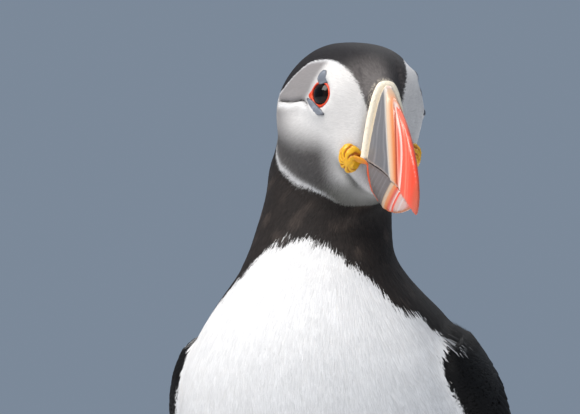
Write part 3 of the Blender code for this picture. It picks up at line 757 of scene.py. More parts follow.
class WingLine:
    """The middle line of a folded wing, from its bend to its tip."""

    def __init__(self, side):
        nodes = [part + side for part in WING_PARTS]
        points = joined(nodes)[0]
        ahead = unit(middle(nodes[2]) - middle(nodes[0]))
        level = points @ ahead
        first = points[level < np.quantile(level, 0.04)].mean(0)
        last = points[level > np.quantile(level, 0.99)].mean(0)
        stops = np.array([first] + [solid(node)[0].mean(0) for node in nodes] + [last])
        share = np.linspace(0, 1, 160)
        knots = np.concatenate(([0], np.cumsum(np.linalg.norm(np.diff(stops, axis=0), axis=1))))
        knots /= knots[-1]
        self.line = np.stack([along_curve(tuple(zip(knots, column)), share)
                              for column in stops.T], 1)
        self.ahead = unit(np.gradient(self.line, axis=0))
        self.share = share
        self.side = SIDES[side]

    def nearest(self, points):
        apart = ((points[:, None] - self.line[None, ::4]) ** 2).sum(2)
        return np.argmin(apart, axis=1) * 4

    def place(self, share, across, outward):
        """The place this share along the wing and this far across it."""
        spot = (np.clip(share, 0, 1) * (len(self.line) - 1)).astype(int)
        inward = unit(np.cross(self.ahead[spot], outward)) * self.side
        return self.line[spot] + inward * across[:, None]

    def places(self, points, normals):
        """Share of the wing's length, millimetres towards its back edge, and the way ahead."""
        spot = self.nearest(points)
        ahead = self.ahead[spot]
        inward = unit(np.cross(ahead, normals)) * self.side
        return self.share[spot], ((points - self.line[spot]) * inward).sum(1), ahead


def fleshed():
    """One surface round the flesh, a little outside it, and the solid nearest to each point."""
    eyes = tuple("eye_" + side for side in SIDES)
    net = bridged(FLESH + EYE_PARTS + eyes, SKIN_VOXEL, SWELL)
    solids, faces, owners = joined(FLESH)
    return net, owners[Cover(solids, faces).nearest(net.points)[2]]


def coat_depth(net, normals, regions, on_a_wing, legs):
    """How deep the coat is: thinner by the bill, the eyes and the legs, and never so deep that
    the skins of a wing's two faces would meet."""
    features = distance_to(BILL_PARTS + EYE_PARTS + ROSETTES, net.points, 6.0)
    depth = net.relaxed(np.array([COAT_DEPTH[region] for region in regions]), 25)
    depth *= 0.25 + 0.75 * ease(features, 1.4, 5.3)
    depth *= 0.2 + 0.8 * ease(legs, 1.0, 8.0)
    tree = Cover(net.points, net.faces).tree
    thick = np.full(len(net.points), SOLID_THROUGH)
    for i in np.nonzero(on_a_wing > 0.02)[0]:
        start = Vector(net.points[i] - normals[i] * 0.05)
        thick[i] = tree.ray_cast(start, Vector(-normals[i]), 12.0)[3] or SOLID_THROUGH
    return np.maximum(np.minimum(SWELL + depth, 0.42 * net.relaxed(thick, 3)) - SWELL, 0.1)


def seat_eyes(net, normals, depth):
    """Presses the skin flat round each eye. Gives how far each point is pressed, and the depth
    of the coat that is left."""
    seated = np.zeros(len(net.points))
    for side in SIDES:
        seat = EyeSeat(side)
        out, reach = seat.height(net.points), seat.reach(net.points)
        close = (1 - ease(reach, 3.7, 6.2)) * (out > 0)
        seated = np.maximum(seated, close)
        flat = net.points + seat.out * (SEAT_HEIGHT - out)[:, None]
        net.points = mix(net.points, flat + normals * SWELL, close)
        depth = depth * (1 - close)
    return seated, depth


def sink_skin(net, normals, depth, seated):
    """Takes the swell and the depth of the coat off the skin, and cuts the folds of the face."""
    above_fold, level = furrow_distance(net.points)
    fold = (0.9 * bell(above_fold, 0.55) - 0.35 * bell(above_fold - 1.8, 1.2)
            - 0.3 * bell(above_fold + 1.8, 1.2))
    f, u, l = on_head(net.points)
    lores = bell(f + 8.5, 5) * bell(u + 6, 10) * (np.abs(l) > 7)
    sunk = (SWELL + depth + fold * level + 0.8 * chin_fold(f, u, 1.8, 4.0)
            - 1.7 * lores * (1 - seated))
    net.points = net.points - normals * sunk[:, None]


def coat_lie(net, normals, legs):
    """The way the coat lies, from the bill to the tail and the feet, and each point's rank on
    that way."""
    bill = distance_to(BILL_PARTS, net.points, 2.0)
    tail = distance_to(("tail",), net.points, 7.0)
    fixed = (bill < 1.6) | (tail < 6.5) | (legs < 3.0)
    along = net.harmonic(fixed, np.where(bill < 1.6, 0.0, 1.0))
    return net.slope(along, normals), np.argsort(np.argsort(along)) / len(along)


def body_map(net, ranked, owner):
    """Each point's place on the flat map: the trunk as one tube, and each thigh above it."""
    lateral = mix(LEFT, HEAD_L, ease(net.points[:, 2], 150, 178))
    turn, length = tube_unwrap(net.points, ranked, lateral)
    unwrap = np.stack((0.02 + 0.96 * turn, 0.02 + 0.64 * length), 1)
    for number, name in enumerate(THIGHS):
        mine = owner == FLESH.index(name)
        apart = net.points[mine] - middle(name)
        turn = np.arctan2(apart[:, 0], apart[:, 1]) / (2 * math.pi) + 0.5
        low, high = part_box(name)
        level = (net.points[mine, 2] * MM - low[2]) / (high[2] - low[2])
        unwrap[mine] = np.stack((0.02 + 0.5 * number + 0.44 * turn, 0.89 + 0.09 * level), 1)
    return unwrap


def lay_wings(net, normals, regions, near_wing, unwrap):
    """The way ahead along each wing, and each point's share of the wing's length and place
    across it. Puts the wings on the flat map as well."""
    flow = np.zeros_like(net.points)
    share, across = np.zeros(len(flow)), np.zeros(len(flow))
    for number, side in enumerate(SIDES):
        line = WingLine(side)
        mine = (near_wing > 0.02) & (net.points[:, 0] * SIDES[side] > 0)
        flow[mine] = line.places(net.points[mine], normals[mine])[2]
        inside = mine & (regions == "wing")
        share[inside], across[inside], _ = line.places(net.points[inside], normals[inside])
        spot = np.clip(across[inside] / 100 + 0.5, 0, 1)
        unwrap[inside] = np.stack((0.02 + 0.5 * number + 0.46 * share[inside],
                                   0.70 + 0.16 * spot), 1)
    return flow, share, across


def build_skin():
    net, owner = fleshed()
    regions = np.array([region_of(name) for name in FLESH])[owner]
    wing = (regions == "wing").astype(float)
    on_the_head = net.relaxed((regions == "head").astype(float), 10)
    on_a_wing = net.relaxed(wing, 4)
    net.points = net.relaxed(net.points, 10, 0.5 * (1 - 0.7 * on_a_wing))
    net.points = net.relaxed(net.points, 40, 0.5 * (1 - on_the_head) * (1 - on_a_wing))
    legs = distance_to(("tarsus_left", "tarsus_right"), net.points, 8.0)
    normals = net.normals()
    depth = coat_depth(net, normals, regions, on_a_wing, legs)
    seated, depth = seat_eyes(net, normals, depth)
    sink_skin(net, normals, depth, seated)
    normals = net.normals()
    flow, ranked = coat_lie(net, normals, legs)
    unwrap = body_map(net, ranked, owner)
    near_wing = net.relaxed(wing, 60)
    wing_flow, share, across = lay_wings(net, normals, regions, near_wing, unwrap)
    flow = unit(flattened(mix(flow, wing_flow, ease(near_wing, 0.1, 0.75)), normals))
    pelt = Pelt(net, flow, depth, unwrap)
    pelt.regions = regions
    pelt.near_wing = np.where((regions == "wing") & (share > 0.45), 1.0, near_wing)
    edge = np.where(across > 0, WING_EDGE + 0.1, WING_EDGE)
    outer = ((net.points - np.array((0.0, TRUNK_AXIS_Y, 0.0))) * normals)[:, :2].sum(1) > 0
    pelt.vaned = outer & (regions == "wing") & (share > 0.13) & (pelt.near_wing > edge)
    pelt.features = distance_to(BILL_PARTS + ROSETTES, net.points, 6.0)
    pelt.from_cere = distance_to(("cere",), net.points, 3.0)
    finish = marked_finish("skin_plumage", 0.75, grain=1.2, spread=0.1, bump=0.15)
    # The skin carries the plumage colours, darkened a little as painted shade where it lies under
    # the locks.
    tone = markings_and_painted_light(net.points, normals, 0.0, pelt.near_wing) * 0.92
    skin = marked_piece("skin", net, finish, tone)
    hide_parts(*FLESH)
    return pelt


# ---------------------------------------------------------------- coat

# One lock: a keeled blade from a root point through one or two rings of three to a tip. For each
# number of rings, the stops along the lock and its faces.
LOCK_STOPS = {1: (0.0, 0.55, 1.0), 2: (0.0, 0.4, 0.84, 1.0)}
LOCK_FACES = {1: np.array(((0, 1, 2), (0, 2, 3), (0, 3, 1), (1, 4, 2), (2, 4, 3), (3, 4, 1))),
              2: np.array(((0, 1, 2), (0, 2, 3), (0, 3, 1), (1, 4, 2), (2, 4, 5), (2, 5, 3),
                           (3, 5, 6), (3, 6, 1), (1, 6, 4), (4, 7, 5), (5, 7, 6), (6, 7, 4)))}
# How far locks stray from the lie of the coat, in degrees, and how unevenly deep they are.
LOCK_STRAY = 4.0
LOCK_LIFT = 0.02
LOCK_KEEL = 0.1
# How far the shading leans out to each side of a lock, and how dark its root is: partly the greyer
# base of a feather, partly painted shade under the locks that lie over it.
LOCK_RELIEF = 0.2
ROOT_SHADE = 0.97
# How many long locks share a tuft.
TUFT = 16
# How wide one feather is on the flat map, and the most triangles in a piece of the coat.
PATCH = 0.003
MOST_TRIANGLES = 190000


def strayed(heading, outward, degrees):
    """These headings, each turned at random about the way out from the skin."""
    turn = np.radians(rng.normal(0, degrees, len(heading)))[:, None]
    return heading * np.cos(turn) + np.cross(outward, heading) * np.sin(turn)


def tufted(end, depth):
    """Tips of locks drawn a little together into tufts, with each tuft's depth and shade."""
    leaders = rng.choice(len(end), len(end) // TUFT, replace=False)
    tree = tree_of(end[leaders])
    mine = np.array([tree.find(p)[1] for p in end.tolist()])
    end = end + 0.12 * (end[leaders][mine] - end)
    shade = rng.uniform(0.95, 1.03, len(leaders))[mine]
    return end, depth * rng.uniform(0.96, 1.04, len(leaders))[mine], shade


def lock_rows(stops, place, normal, leaving, end, end_normal, arriving, height, width):
    """The points of each lock and the way each of them faces, from its root to its tip."""
    side = unit(np.cross(normal + end_normal, end - place))
    rows, faced = [], []
    for s in stops:
        out = unit(normal * (1 - s) + end_normal * s)
        risen = 0.93 * ease(s, -0.25, 0.45) + 0.07 * s
        line = curved(s, place, end, leaving, arriving)
        line = line + out * (height * risen - 0.3 * (1 - s) ** 2)[:, None]
        if s in (0.0, 1.0):
            rows.append(line[:, None])
            faced.append(out[:, None])
            continue
        reach = (width * (0.5 if s < 0.5 else 0.42))[:, None]
        out = unit(flattened(out, side))
        rows.append(np.stack((line - side * reach, line + out * reach * LOCK_KEEL,
                              line + side * reach), 1))
        faced.append(unit(np.stack((out - LOCK_RELIEF * side, out, out + LOCK_RELIEF * side), 1)))
    return np.concatenate(rows, 1), np.concatenate(faced, 1)


def coat(name, pelt, roots, finish, length, width, tone, rings):
    """Locks from these roots, lying along the coat and reaching to its full depth."""
    place, normal = pelt.at(roots, pelt.points), unit(pelt.at(roots, pelt.normals))
    heading, depth = pelt.at(roots, pelt.flow), pelt.at(roots, pelt.depth)
    count = len(place)
    heading = strayed(unit(flattened(heading, normal)), normal, LOCK_STRAY)
    length = length * rng.uniform(0.75, 1.2, count)
    leaving = heading * length[:, None]
    end, end_normal, _, _ = pelt.cover.nearest(place + leaving)
    tuft_shade = 1.0
    if rings == 2:
        end, depth, tuft_shade = tufted(end, depth)
    height = depth * (1 + LOCK_LIFT * rng.uniform(-1, 1, count))
    width = width * rng.uniform(0.8, 1.25, count)
    arriving = flattened(unit(end - place) * length[:, None], end_normal)
    points, faced = lock_rows(LOCK_STOPS[rings], place, normal, leaving, end, end_normal,
                              arriving, height, width)
    level = np.repeat(LOCK_STOPS[rings], [1] + [3] * rings + [1])
    # Darker towards the root: the greyer base of each feather and painted shade under the locks
    # over it.
    shade = ROOT_SHADE + (1 - ROOT_SHADE) * np.sqrt(level)
    shade = shade[None] * (rng.uniform(0.95, 1.04, count) * tuft_shade)[:, None]
    offset = np.stack(([0.5] + [0.1, 0.5, 0.9] * rings + [0.5], level), 1)
    root = pelt.unwrap[roots[0][:, 0]]
    spot = root[:, None] + (offset[None] - 0.5) * PATCH
    corner = len(level)
    chunks = math.ceil(count * len(LOCK_FACES[rings]) / MOST_TRIANGLES)
    order = np.argsort(root[:, 0], kind="stable")
    for number, chosen in enumerate(np.array_split(order, chunks)):
        starts = corner * np.arange(len(chosen))[:, None, None]
        layers = {"marking": np.repeat(tone[chosen], corner, 0), "shade": shade[chosen].ravel()}
        piece = new_piece(f"{name}_{number + 1}" if chunks > 1 else name,
                          points[chosen].reshape(-1, 3),
                          (LOCK_FACES[rings][None] + starts).reshape(-1, 3), finish, layers,
                          spot[chosen].reshape(-1, 2), faced[chosen].reshape(-1, 3))
        # Down lets light through: the skin throws the bird's shadow, and its locks throw none.
        piece.visible_shadow = False


def hidden_by(cover_tree, places, normals, reach):
    """Whether a solid lies over each place, looking out along its normal."""
    return np.array([cover_tree.ray_cast(p, n, reach)[0] is not None
                     for p, n in zip(places.tolist(), normals.tolist())])


# Length, width and number to the square millimetre of the locks of each region.
LOCKS = {"head": (2.7, 0.27, 11.5), "neck": (3.8, 0.4, 5.2), "breast": (9.5, 0.52, 3.0),
         "abdomen": (10.0, 0.7, 2.0), "rump": (8.5, 1.0, 1.3), "thigh": (5.5, 0.8, 1.4)}
# The same for the skin of a wing, where it is eased into its neighbours.
WING_LOCK = (9.0, 0.9, 1.3)


def lock_sizes(pelt):
    """Length, width and number to the square millimetre at each point: short and close together
    beside a wing."""
    size = pelt.net.relaxed(np.array([LOCKS.get(region, WING_LOCK) for region in pelt.regions]), 60)
    shortened = 1 - 0.75 * ease(pelt.near_wing, 0.5, WING_EDGE - 0.03)
    size[:, 0] *= shortened
    size[:, 2] /= np.sqrt(shortened)
    return size


def open_roots(pelt, region, density, wing_tree):
    """Roots of a region's locks, without those at the bill's edge and those under a wing."""
    roots = pelt.sown(density)
    kept = pelt.at(roots, pelt.features) > 0.25
    if region != "head":
        place, normal = pelt.at(roots, pelt.points), pelt.at(roots, pelt.normals)
        kept &= ~hidden_by(wing_tree, place + unit(normal) * 2.5, normal, 14.0)
    return roots[0][kept], roots[1][kept]


def trimmed(pelt, region, roots, place, heading, length):
    """Lengths cut down by the bill and the eyes, at the face's edges, and where the white breast
    meets a wing, and how near a wing each lock comes."""
    features = pelt.at(roots, pelt.features)
    length = np.where(features < 5.9, np.minimum(length, 0.35 + 0.6 * features), length)
    if region == "head":
        edge = np.minimum(*np.abs(face_inset(place)))
        length = length * (0.45 + 0.55 * ease(edge, 0.5, 4.0))
    over = pelt.cover.nearest(place + heading * (0.8 * length)[:, None])[2]
    near_wing = pelt.near_wing[pelt.net.faces[over]].mean(1)
    near_wing = np.maximum(near_wing, pelt.at(roots, pelt.near_wing))
    beside_wing = ease(near_wing, 0.3, 0.6) * ease(place[:, 2], 90.0, 104.0)
    return length * (1 - 0.55 * beside_wing * ease(breast_inset(place), 0.0, 5.0)), near_wing


def build_coat(pelt):
    wing_tree = Cover(*joined(WINGS)[:2]).tree
    soft = feather_finish("soft_plumage", 0.7, Specular_IOR_Level=0.2)
    share = 1.0
    size = lock_sizes(pelt)
    tucked = (pelt.regions == "wing") & ~pelt.vaned
    below = np.where(breast_inset(pelt.points) > 0, "breast", "rump")
    regions = np.where(tucked, below, pelt.regions)
    for region in LOCKS:
        roots = open_roots(pelt, region, (regions == region) * size[:, 2] * share, wing_tree)
        place, normal = pelt.at(roots, pelt.points), pelt.at(roots, pelt.normals)
        heading = pelt.at(roots, pelt.flow)
        length, width, _ = pelt.at(roots, size).T
        length, near_wing = trimmed(pelt, region, roots, place, heading, length)
        tone = markings_and_painted_light(place + heading * (0.6 * length)[:, None], unit(normal),
                        rng.normal(0, 0.25, len(place)), near_wing)
        dark = 1 - ease(tone.mean(1), 0.05, 0.25)
        tone = tone * np.exp(rng.normal(0, 0.03 + 0.15 * dark))[:, None]
        bristle = 1 - ease(pelt.at(roots, pelt.from_cere), 0.7, 1.3)
        tone = mix(tone, BRISTLE, 0.85 * bristle)
        coat("coat_" + region, pelt, roots, soft, length,
             width, tone, 1 if region == "head" else 2)


# ---------------------------------------------------------------- wings and tail

# How many rings of four points a broad feather has, and how far the wave of its ribs turns in a
# millimetre: they are 0.45 apart.
VANE_STATIONS = 7
BARB_TURN = 2 * math.pi / 0.45
# Rows of small feathers: where each begins and ends along the wing, their spacing, length
# and width.
WING_ROWS = {"lesser": (0.07, 0.30, 2.5, 6.5, 3.8), "median": (0.26, 0.43, 4.0, 12.0, 6.0),
             "greater": (0.40, 0.56, 5.5, 21.0, 7.5)}
# Rows of long feathers: where they begin along the wing, how many, where the longest ends, how
# much sooner the shortest ends, their width and how far their tips stand off.
FLIGHT_ROWS = {"secondaries": (0.50, 9, 0.84, 0.04, 9.0, 0.25),
               "primaries": (0.66, 8, 1.0, 0.15, 7.5, 0.1)}
# How much higher each long feather lies than the one before it.
FEATHER_STEP = 0.07
WING_BROWN = colour(40, 33, 30)
TAIL_FEATHERS = 8
# How far the tail's root is drawn forward into the rump.
TAIL_SUNK = 5.0


def thinned(places, spacing):
    """A choice of these places no two of which are nearer than the spacing."""
    tree = tree_of(places)
    dropped = np.zeros(len(places), bool)
    kept = []
    for number, place in enumerate(places.tolist()):
        if dropped[number]:
            continue
        kept.append(number)
        for _, other, _ in tree.find_range(place, spacing):
            dropped[other] = True
    return np.array(kept)


def laid(pelt, places, outward, lift):
    """How far along outward the surface is from each place, followed on from the last lift."""
    above = places + outward * (lift + 4.0)[:, None]
    found = [pelt.cover.tree.ray_cast(p, inward, 14.0)[3]
             for p, inward in zip(above.tolist(), (-outward).tolist())]
    return np.array([old if far is None else old + np.clip(4.0 - far, -2.0, 2.0)
                     for old, far in zip(lift, found)])


def vane_faces():
    """Faces of one closed blade: its sides from ring to ring, and its two ends."""
    ring, last = np.arange(4), 4 * VANE_STATIONS - 1
    starts = 4 * np.arange(VANE_STATIONS - 1)[:, None]
    a, b = starts + ring, starts + (ring + 1) % 4
    return np.concatenate((np.stack((b, a, a + 4, b + 4), -1).reshape(-1, 4), (ring, last - ring)))


def vane_rows(pelt, spots, heading, outward, side, length, width, depth, rise, step):
    """Points of each blade: a left edge, a raised shaft, a right edge and an underside."""
    lift, rows = np.zeros(len(spots)), []
    for s in np.linspace(0, 1, VANE_STATIONS):
        place = spots + heading * (length * s)[:, None]
        lift = laid(pelt, place, outward, lift)
        tip = math.sqrt(max(0.02, 1 - max(0.0, (s - 0.7) / 0.3) ** 2.2))
        half = width / 2 * (0.3 + 0.7 * ease(s, 0, 0.35)) * tip
        height = lift + 0.1 + depth * (0.5 + 0.5 * s) + rise * s + step * np.arange(len(spots))
        centre = place + outward * height[:, None]
        drop = outward * (0.10 * half + 0.05)[:, None]
        reach = side * half[:, None]
        rows.append(np.stack((centre - reach - drop, centre + outward * 0.12,
                              centre + reach - drop, centre - drop * 1.4 - outward * 0.1), 1))
    return np.stack(rows, 1)


def vanes(name, pelt, starts, length, width, finish, tone, edge_tone, rise, stray=4.0,
          ways=None, outward=None, step=0.0):
    """Broad feathers along the lie of the coat: thin closed blades with a raised shaft."""
    count = len(starts)
    length = length * rng.uniform(0.97, 1.0, count)
    width = width * rng.uniform(0.92, 1.08, count)
    spots, _, face, _ = pelt.cover.nearest(starts)
    corners = pelt.net.faces[face]
    depth = pelt.depth[corners].mean(1)
    outward = unit(pelt.normals[corners].mean(1)) if outward is None else outward
    heading = pelt.flow[corners].mean(1) if ways is None else ways
    heading = strayed(unit(flattened(heading, outward)), outward, stray)
    side = np.cross(outward, heading)
    points = vane_rows(pelt, spots, heading, outward, side, length, width, depth, rise, step)
    faced = unit(np.stack((outward - 0.3 * side, outward, outward + 0.3 * side, -outward), 1))
    faced = np.tile(faced, (1, VANE_STATIONS, 1))
    corner = 4 * VANE_STATIONS
    faces = (vane_faces()[None] + corner * np.arange(count)[:, None, None]).reshape(-1, 4)
    steps = np.linspace(0, 1, VANE_STATIONS)
    edge = np.tile((1.0, 0.0, 1.0, 0.3), VANE_STATIONS) * np.repeat(0.35 + 0.65 * steps, 4)
    edge = np.maximum(edge, np.repeat(ease(steps, 0.85, 1.0), 4))
    tones = mix(tone[:, None], edge_tone[:, None], edge[None])
    shade = np.repeat(0.75 + 0.25 * ease(steps, 0, 0.5), 4)
    shade = shade[None] * rng.uniform(0.88, 1.1, count)[:, None]
    across = np.array((0.9, 0.0, 0.9, 0.0)) * width[:, None, None] / 2
    barb = (steps[None] * length[:, None])[..., None] - across
    offset = np.stack((np.tile((0.1, 0.5, 0.9, 0.5), VANE_STATIONS), np.repeat(steps, 4)), 1)
    spot = pelt.unwrap[corners[:, 0]][:, None] + (offset[None] - 0.5) * PATCH
    layers = {"marking": tones.reshape(-1, 3), "shade": shade.ravel(),
              "barb": barb.ravel() * BARB_TURN}
    new_piece(name, points.reshape(-1, 3), faces, finish, layers,
              spot.reshape(-1, 2), faced.reshape(-1, 3))


def flight_feathers(name, pelt, line, roots, row, finish):
    """Long feathers side by side from one edge of the wing to the other, the front ones longest."""
    begin, number, reach, shorter, width, rise = row
    places, normals, share, across = roots

    def across_at(at, column):
        """How far across the wing this column is, at this share of the wing's length."""
        level = across[np.abs(share - at) < 0.04]
        first, last = np.quantile(level, 0.06), np.quantile(level, 0.94)
        return first + (last - first) * column

    columns = (np.arange(number) + 0.5) / number
    ends = reach - shorter * columns
    near = [across_at(begin, column) for column in columns]
    far = np.array([across_at(end, column) for end, column in zip(ends, columns)])
    spots = [np.argmin(np.abs(across - wanted) + 160 * np.abs(share - begin)) for wanted in near]
    starts, outward = places[spots], normals[spots]
    steady = unit(outward + 2 * unit(outward.mean(0)))
    ways = line.place(ends, far, steady) - starts
    tone = np.tile(WING_BLACK, (number, 1))
    vanes(name, pelt, starts, np.linalg.norm(ways, axis=1), width, finish, tone,
          mix(tone, WING_BROWN, 0.8), rise, 0.5, ways, outward, FEATHER_STEP)


def build_wings(pelt):
    gloss = feather_finish("wing_plumage", 0.6, True, Specular_IOR_Level=0.08)
    for side in SIDES:
        line = WingLine(side)
        mine = pelt.vaned & (pelt.points[:, 0] * SIDES[side] > 0)
        roots = pelt.sown(mine * 1.2)
        places = pelt.at(roots, pelt.points)
        normals = unit(pelt.at(roots, pelt.normals))
        share, across, _ = line.places(places, normals)
        for row, (begin, end, spacing, length, width) in WING_ROWS.items():
            chosen = np.nonzero((share >= begin) & (share <= end))[0]
            order = chosen[rng.permutation(len(chosen))]
            order = order[thinned(places[order], spacing * 0.8)]
            tone = WING_BLACK * rng.uniform(0.85, 1.2, (len(order), 1))
            edge = mix(tone, WING_BROWN, rng.uniform(0.25, 0.6, len(order)))
            vanes(f"wing_{row}_{side}", pelt, places[order], length, width, gloss, tone, edge, 0.08)
        roots = (places, normals, share, across)
        for row, shape in FLIGHT_ROWS.items():
            flight_feathers(f"wing_{row}_{side}", pelt, line, roots, shape, gloss)


def tail_solid():
    """The tail's own pelt, slimmed under its feathers, with its root, its tip, and how far down
    and back each point is."""
    net = remeshed(("tail",), 0.7, 6)
    net.points = net.relaxed(net.points - net.normals() * 0.6, 5)
    tail = net.points
    level = tail @ unit((0.0, 1.0, -0.9))
    root = tail[level < np.quantile(level, 0.06)].mean(0)
    tip = tail[level > np.quantile(level, 0.94)].mean(0)
    back = unit(tip - root)
    tail -= back * (TAIL_SUNK * (1 - ease((tail - root) @ back, 0.0, 8.0)))[:, None]
    root = root - back * TAIL_SUNK
    normals = net.normals()
    flow = back + LEFT * (tail[:, :1] - root[0]) / 160
    along = np.clip((tail - root) @ back / np.linalg.norm(tip - root), 0, 1)
    turn = 0.1 + 0.35 * (normals[:, 2] > 0) + 0.3 * np.clip(tail[:, 0] / 60 + 0.5, 0, 1)
    unwrap = np.stack((turn, 0.665 + 0.03 * along), 1)
    pelt = Pelt(net, unit(flattened(flow, normals)), np.full(len(tail), 0.35), unwrap)
    return pelt, root, tip, level


def build_tail():
    pelt, root, tip, level = tail_solid()
    tail, back = pelt.points, unit(tip - root)
    finish = marked_finish("tail_core", 0.7, grain=1.2, spread=0.1, bump=0.1)
    tone = np.tile(WING_BLACK * 0.8, (len(tail), 1))
    core = marked_piece("tail", pelt.net, finish, tone)
    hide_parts("tail")
    gloss = feather_finish("tail_plumage", 0.6, True, Specular_IOR_Level=0.08)
    half = np.abs(tail[level < np.quantile(level, 0.1), 0]).max()
    upward = unit(np.cross(back, -LEFT))
    across = np.linspace(-0.78, 0.78, TAIL_FEATHERS)
    across = across[np.argsort(-np.abs(across))]
    apart = across[:, None] * half * LEFT
    length = np.linalg.norm(tip - root) * (1.0 - 0.1 * across ** 2) - 2.5
    tone = np.tile(WING_BLACK, (TAIL_FEATHERS, 1))
    for layer, way in (("over", 1), ("under", -1)):
        starts = root + back * 3 + apart
        outward = np.broadcast_to(way * upward, starts.shape)
        starts = starts + outward * laid(pelt, starts, outward, np.full(len(across), 2.0))[:, None]
        vanes("tail_" + layer, pelt, starts, length, 9.0, gloss, tone,
              mix(tone, WING_BROWN, 0.5), 0.1, 0.5, back + apart / 110, outward, FEATHER_STEP)


# ---------------------------------------------------------------- bill

# Lines across the upper bill: f = reach * (1 - exp(-(depth / bend) ** power)), where depth is
# how far below the top of the bill's base. Their numbers were set against the photo.
BILL_LINES = {"ridge": (60, 66.5, 0.87), "orange": (60, 73, 0.72), "groove": (60, 79, 0.6),
              "white": (26.5, 9, 1.08), "streak": (30, 9.2, 1.05)}
# Lines across the lower bill: f at the level LOWER_LEVEL, all leaning forward as they rise.
LOWER_LINES = {"cream": 16.5, "band": 19.9, "white": 21.6, "thin": 22.8, "pale": 25.8}
LOWER_LEVEL = -30.0
LOWER_LEAN = 0.92

SLATE = colour(108, 107, 110)
SLATE_PALE = colour(150, 147, 149)
RIDGE_GREY = colour(206, 198, 190)
BILL_CREAM = colour(214, 184, 154)
BILL_ORANGE = colour(222, 134, 80)
GROOVE_RED = colour(150, 45, 25)
PALE_PINK = colour(240, 168, 148)
BILL_RED = colour(228, 84, 58)
GROOVE_WHITE = colour(240, 215, 205)
OUTER_RED = colour(232, 90, 66)
SALMON = colour(244, 136, 112)
EDGE_RED = colour(240, 76, 50)
TIP_BROWN = colour(176, 96, 70)
LOWER_SLATE = colour(106, 97, 95)
LOWER_PINK = colour(214, 176, 166)
GAPE_RED = colour(226, 84, 40)
LIP_PALE = colour(188, 170, 158)
CERE_CREAM = colour(250, 237, 214)
CERE_SHADE = colour(200, 178, 148)
CERE_DOT = colour(222, 122, 56)
GAPE_YELLOW = colour(232, 150, 24)
ROSETTE_YELLOW = colour(236, 170, 22)
# Painted shade in the rosette's furrows, and a painted highlight on its crests.
ROSETTE_FURROW_SHADE = colour(186, 92, 4)
ROSETTE_CREST_HIGHLIGHT = colour(246, 196, 60)


def bill_line(name, depth):
    reach, bend, power = BILL_LINES[name]
    return reach * (1 - np.exp(-(np.maximum(depth, 0.02) / bend) ** power))


def neighbouring_lines(u):
    """The bill's base and its lines at this level, as pairs that lie side by side."""
    lines = [0 * u] + [bill_line(name, -u) for name in BILL_LINES]
    return zip(lines[:-1], lines[1:])


def upper_bill_look(points):
    """Colour and height of the ridges and grooves, on the upper bill."""
    f, u, _ = on_head(points)
    apart = {name: 0.8 * (f - bill_line(name, -u)) for name in BILL_LINES}
    ridge, orange, groove, white, streak = apart.values()
    number = sum(np.clip((f - low) / np.maximum(high - low, 0.3), 0, 1)
                 for low, high in neighbouring_lines(u))
    number = number + np.clip(streak / 4, 0, 3)
    stripes = (np.sin(17 * number + 1.5 * lumps(points, 6.0)) * 0.5
               + 0.5 * np.sin(41 * number + 2 * lumps(points, 4.0)))
    outer = mix(OUTER_RED, SALMON, 0.5 * ease(stripes, 0.2, 0.9))
    tone = painted(SLATE,
                   (SLATE_PALE, 0.35 * ease(stripes, 0.1, 0.9)),
                   (RIDGE_GREY, bell(ridge + 0.3, 0.55)),
                   (BILL_CREAM, ease(ridge, -0.15, 0.35)),
                   (BILL_ORANGE, ease(orange, -1.2, 0.8)),
                   (GROOVE_RED, 0.95 * bell(groove, 0.5)),
                   (BILL_RED, ease(groove, 0.2, 0.8)),
                   (PALE_PINK, 0.7 * bell(groove - 0.95, 0.4)),
                   (GROOVE_WHITE, 0.95 * bell(white, 0.42)),
                   (outer, ease(white, 0.2, 0.6)),
                   (SALMON, 0.6 * bell(streak, 0.4)),
                   (EDGE_RED, ease(streak, 1.0, 3.0)),
                   (TIP_BROWN, 0.6 * ease(f, 30.5, 34.0)))
    height = (0.30 * bell(ridge, 0.6) - 0.10 * bell(orange, 0.5) - 0.38 * bell(groove, 0.45)
              - 0.36 * bell(white, 0.45) - 0.14 * bell(streak, 0.35) + 0.03 * stripes)
    return tone, height


def lower_bill_look(points, normals):
    f, u, _ = on_head(points)
    across = f - LOWER_LEAN * (u - LOWER_LEVEL)
    cream, band, white, thin, pale = (0.75 * (across - place) for place in LOWER_LINES.values())
    stripes = np.sin(2.6 * across + 1.2 * lumps(points, 5.0)) * 0.6 + 0.4 * np.sin(6.1 * across)
    below = ease(normals @ -HEAD_U, 0.55, 0.9)
    tone = painted(LOWER_SLATE,
                   (SLATE_PALE, 0.3 * ease(stripes, 0.1, 0.9)),
                   (BILL_CREAM * 0.92, ease(cream, -0.9, 0.1)),
                   (BILL_ORANGE, ease(cream, 0.5, 1.3)),
                   (BILL_RED * 0.9, ease(band, -1.0, 0.4)),
                   (GROOVE_WHITE, 0.95 * bell(white, 0.4)),
                   (EDGE_RED, ease(white, 0.2, 0.6)),
                   (LOWER_PINK, ease(thin, 0.1, 0.6)),
                   (RIM_WHITE, 0.5 * bell(pale, 0.35)),
                   (OUTER_RED, ease(pale, 1.5, 3.5) * ease(f, 22, 27)),
                   (BILL_ORANGE * 0.9, 0.8 * below * ease(cream, -0.5, 0.5)))
    height = (0.2 * bell(cream, 0.6) - 0.3 * bell(white, 0.4) - 0.12 * bell(pale, 0.35)
              + 0.03 * stripes)
    return tone, height


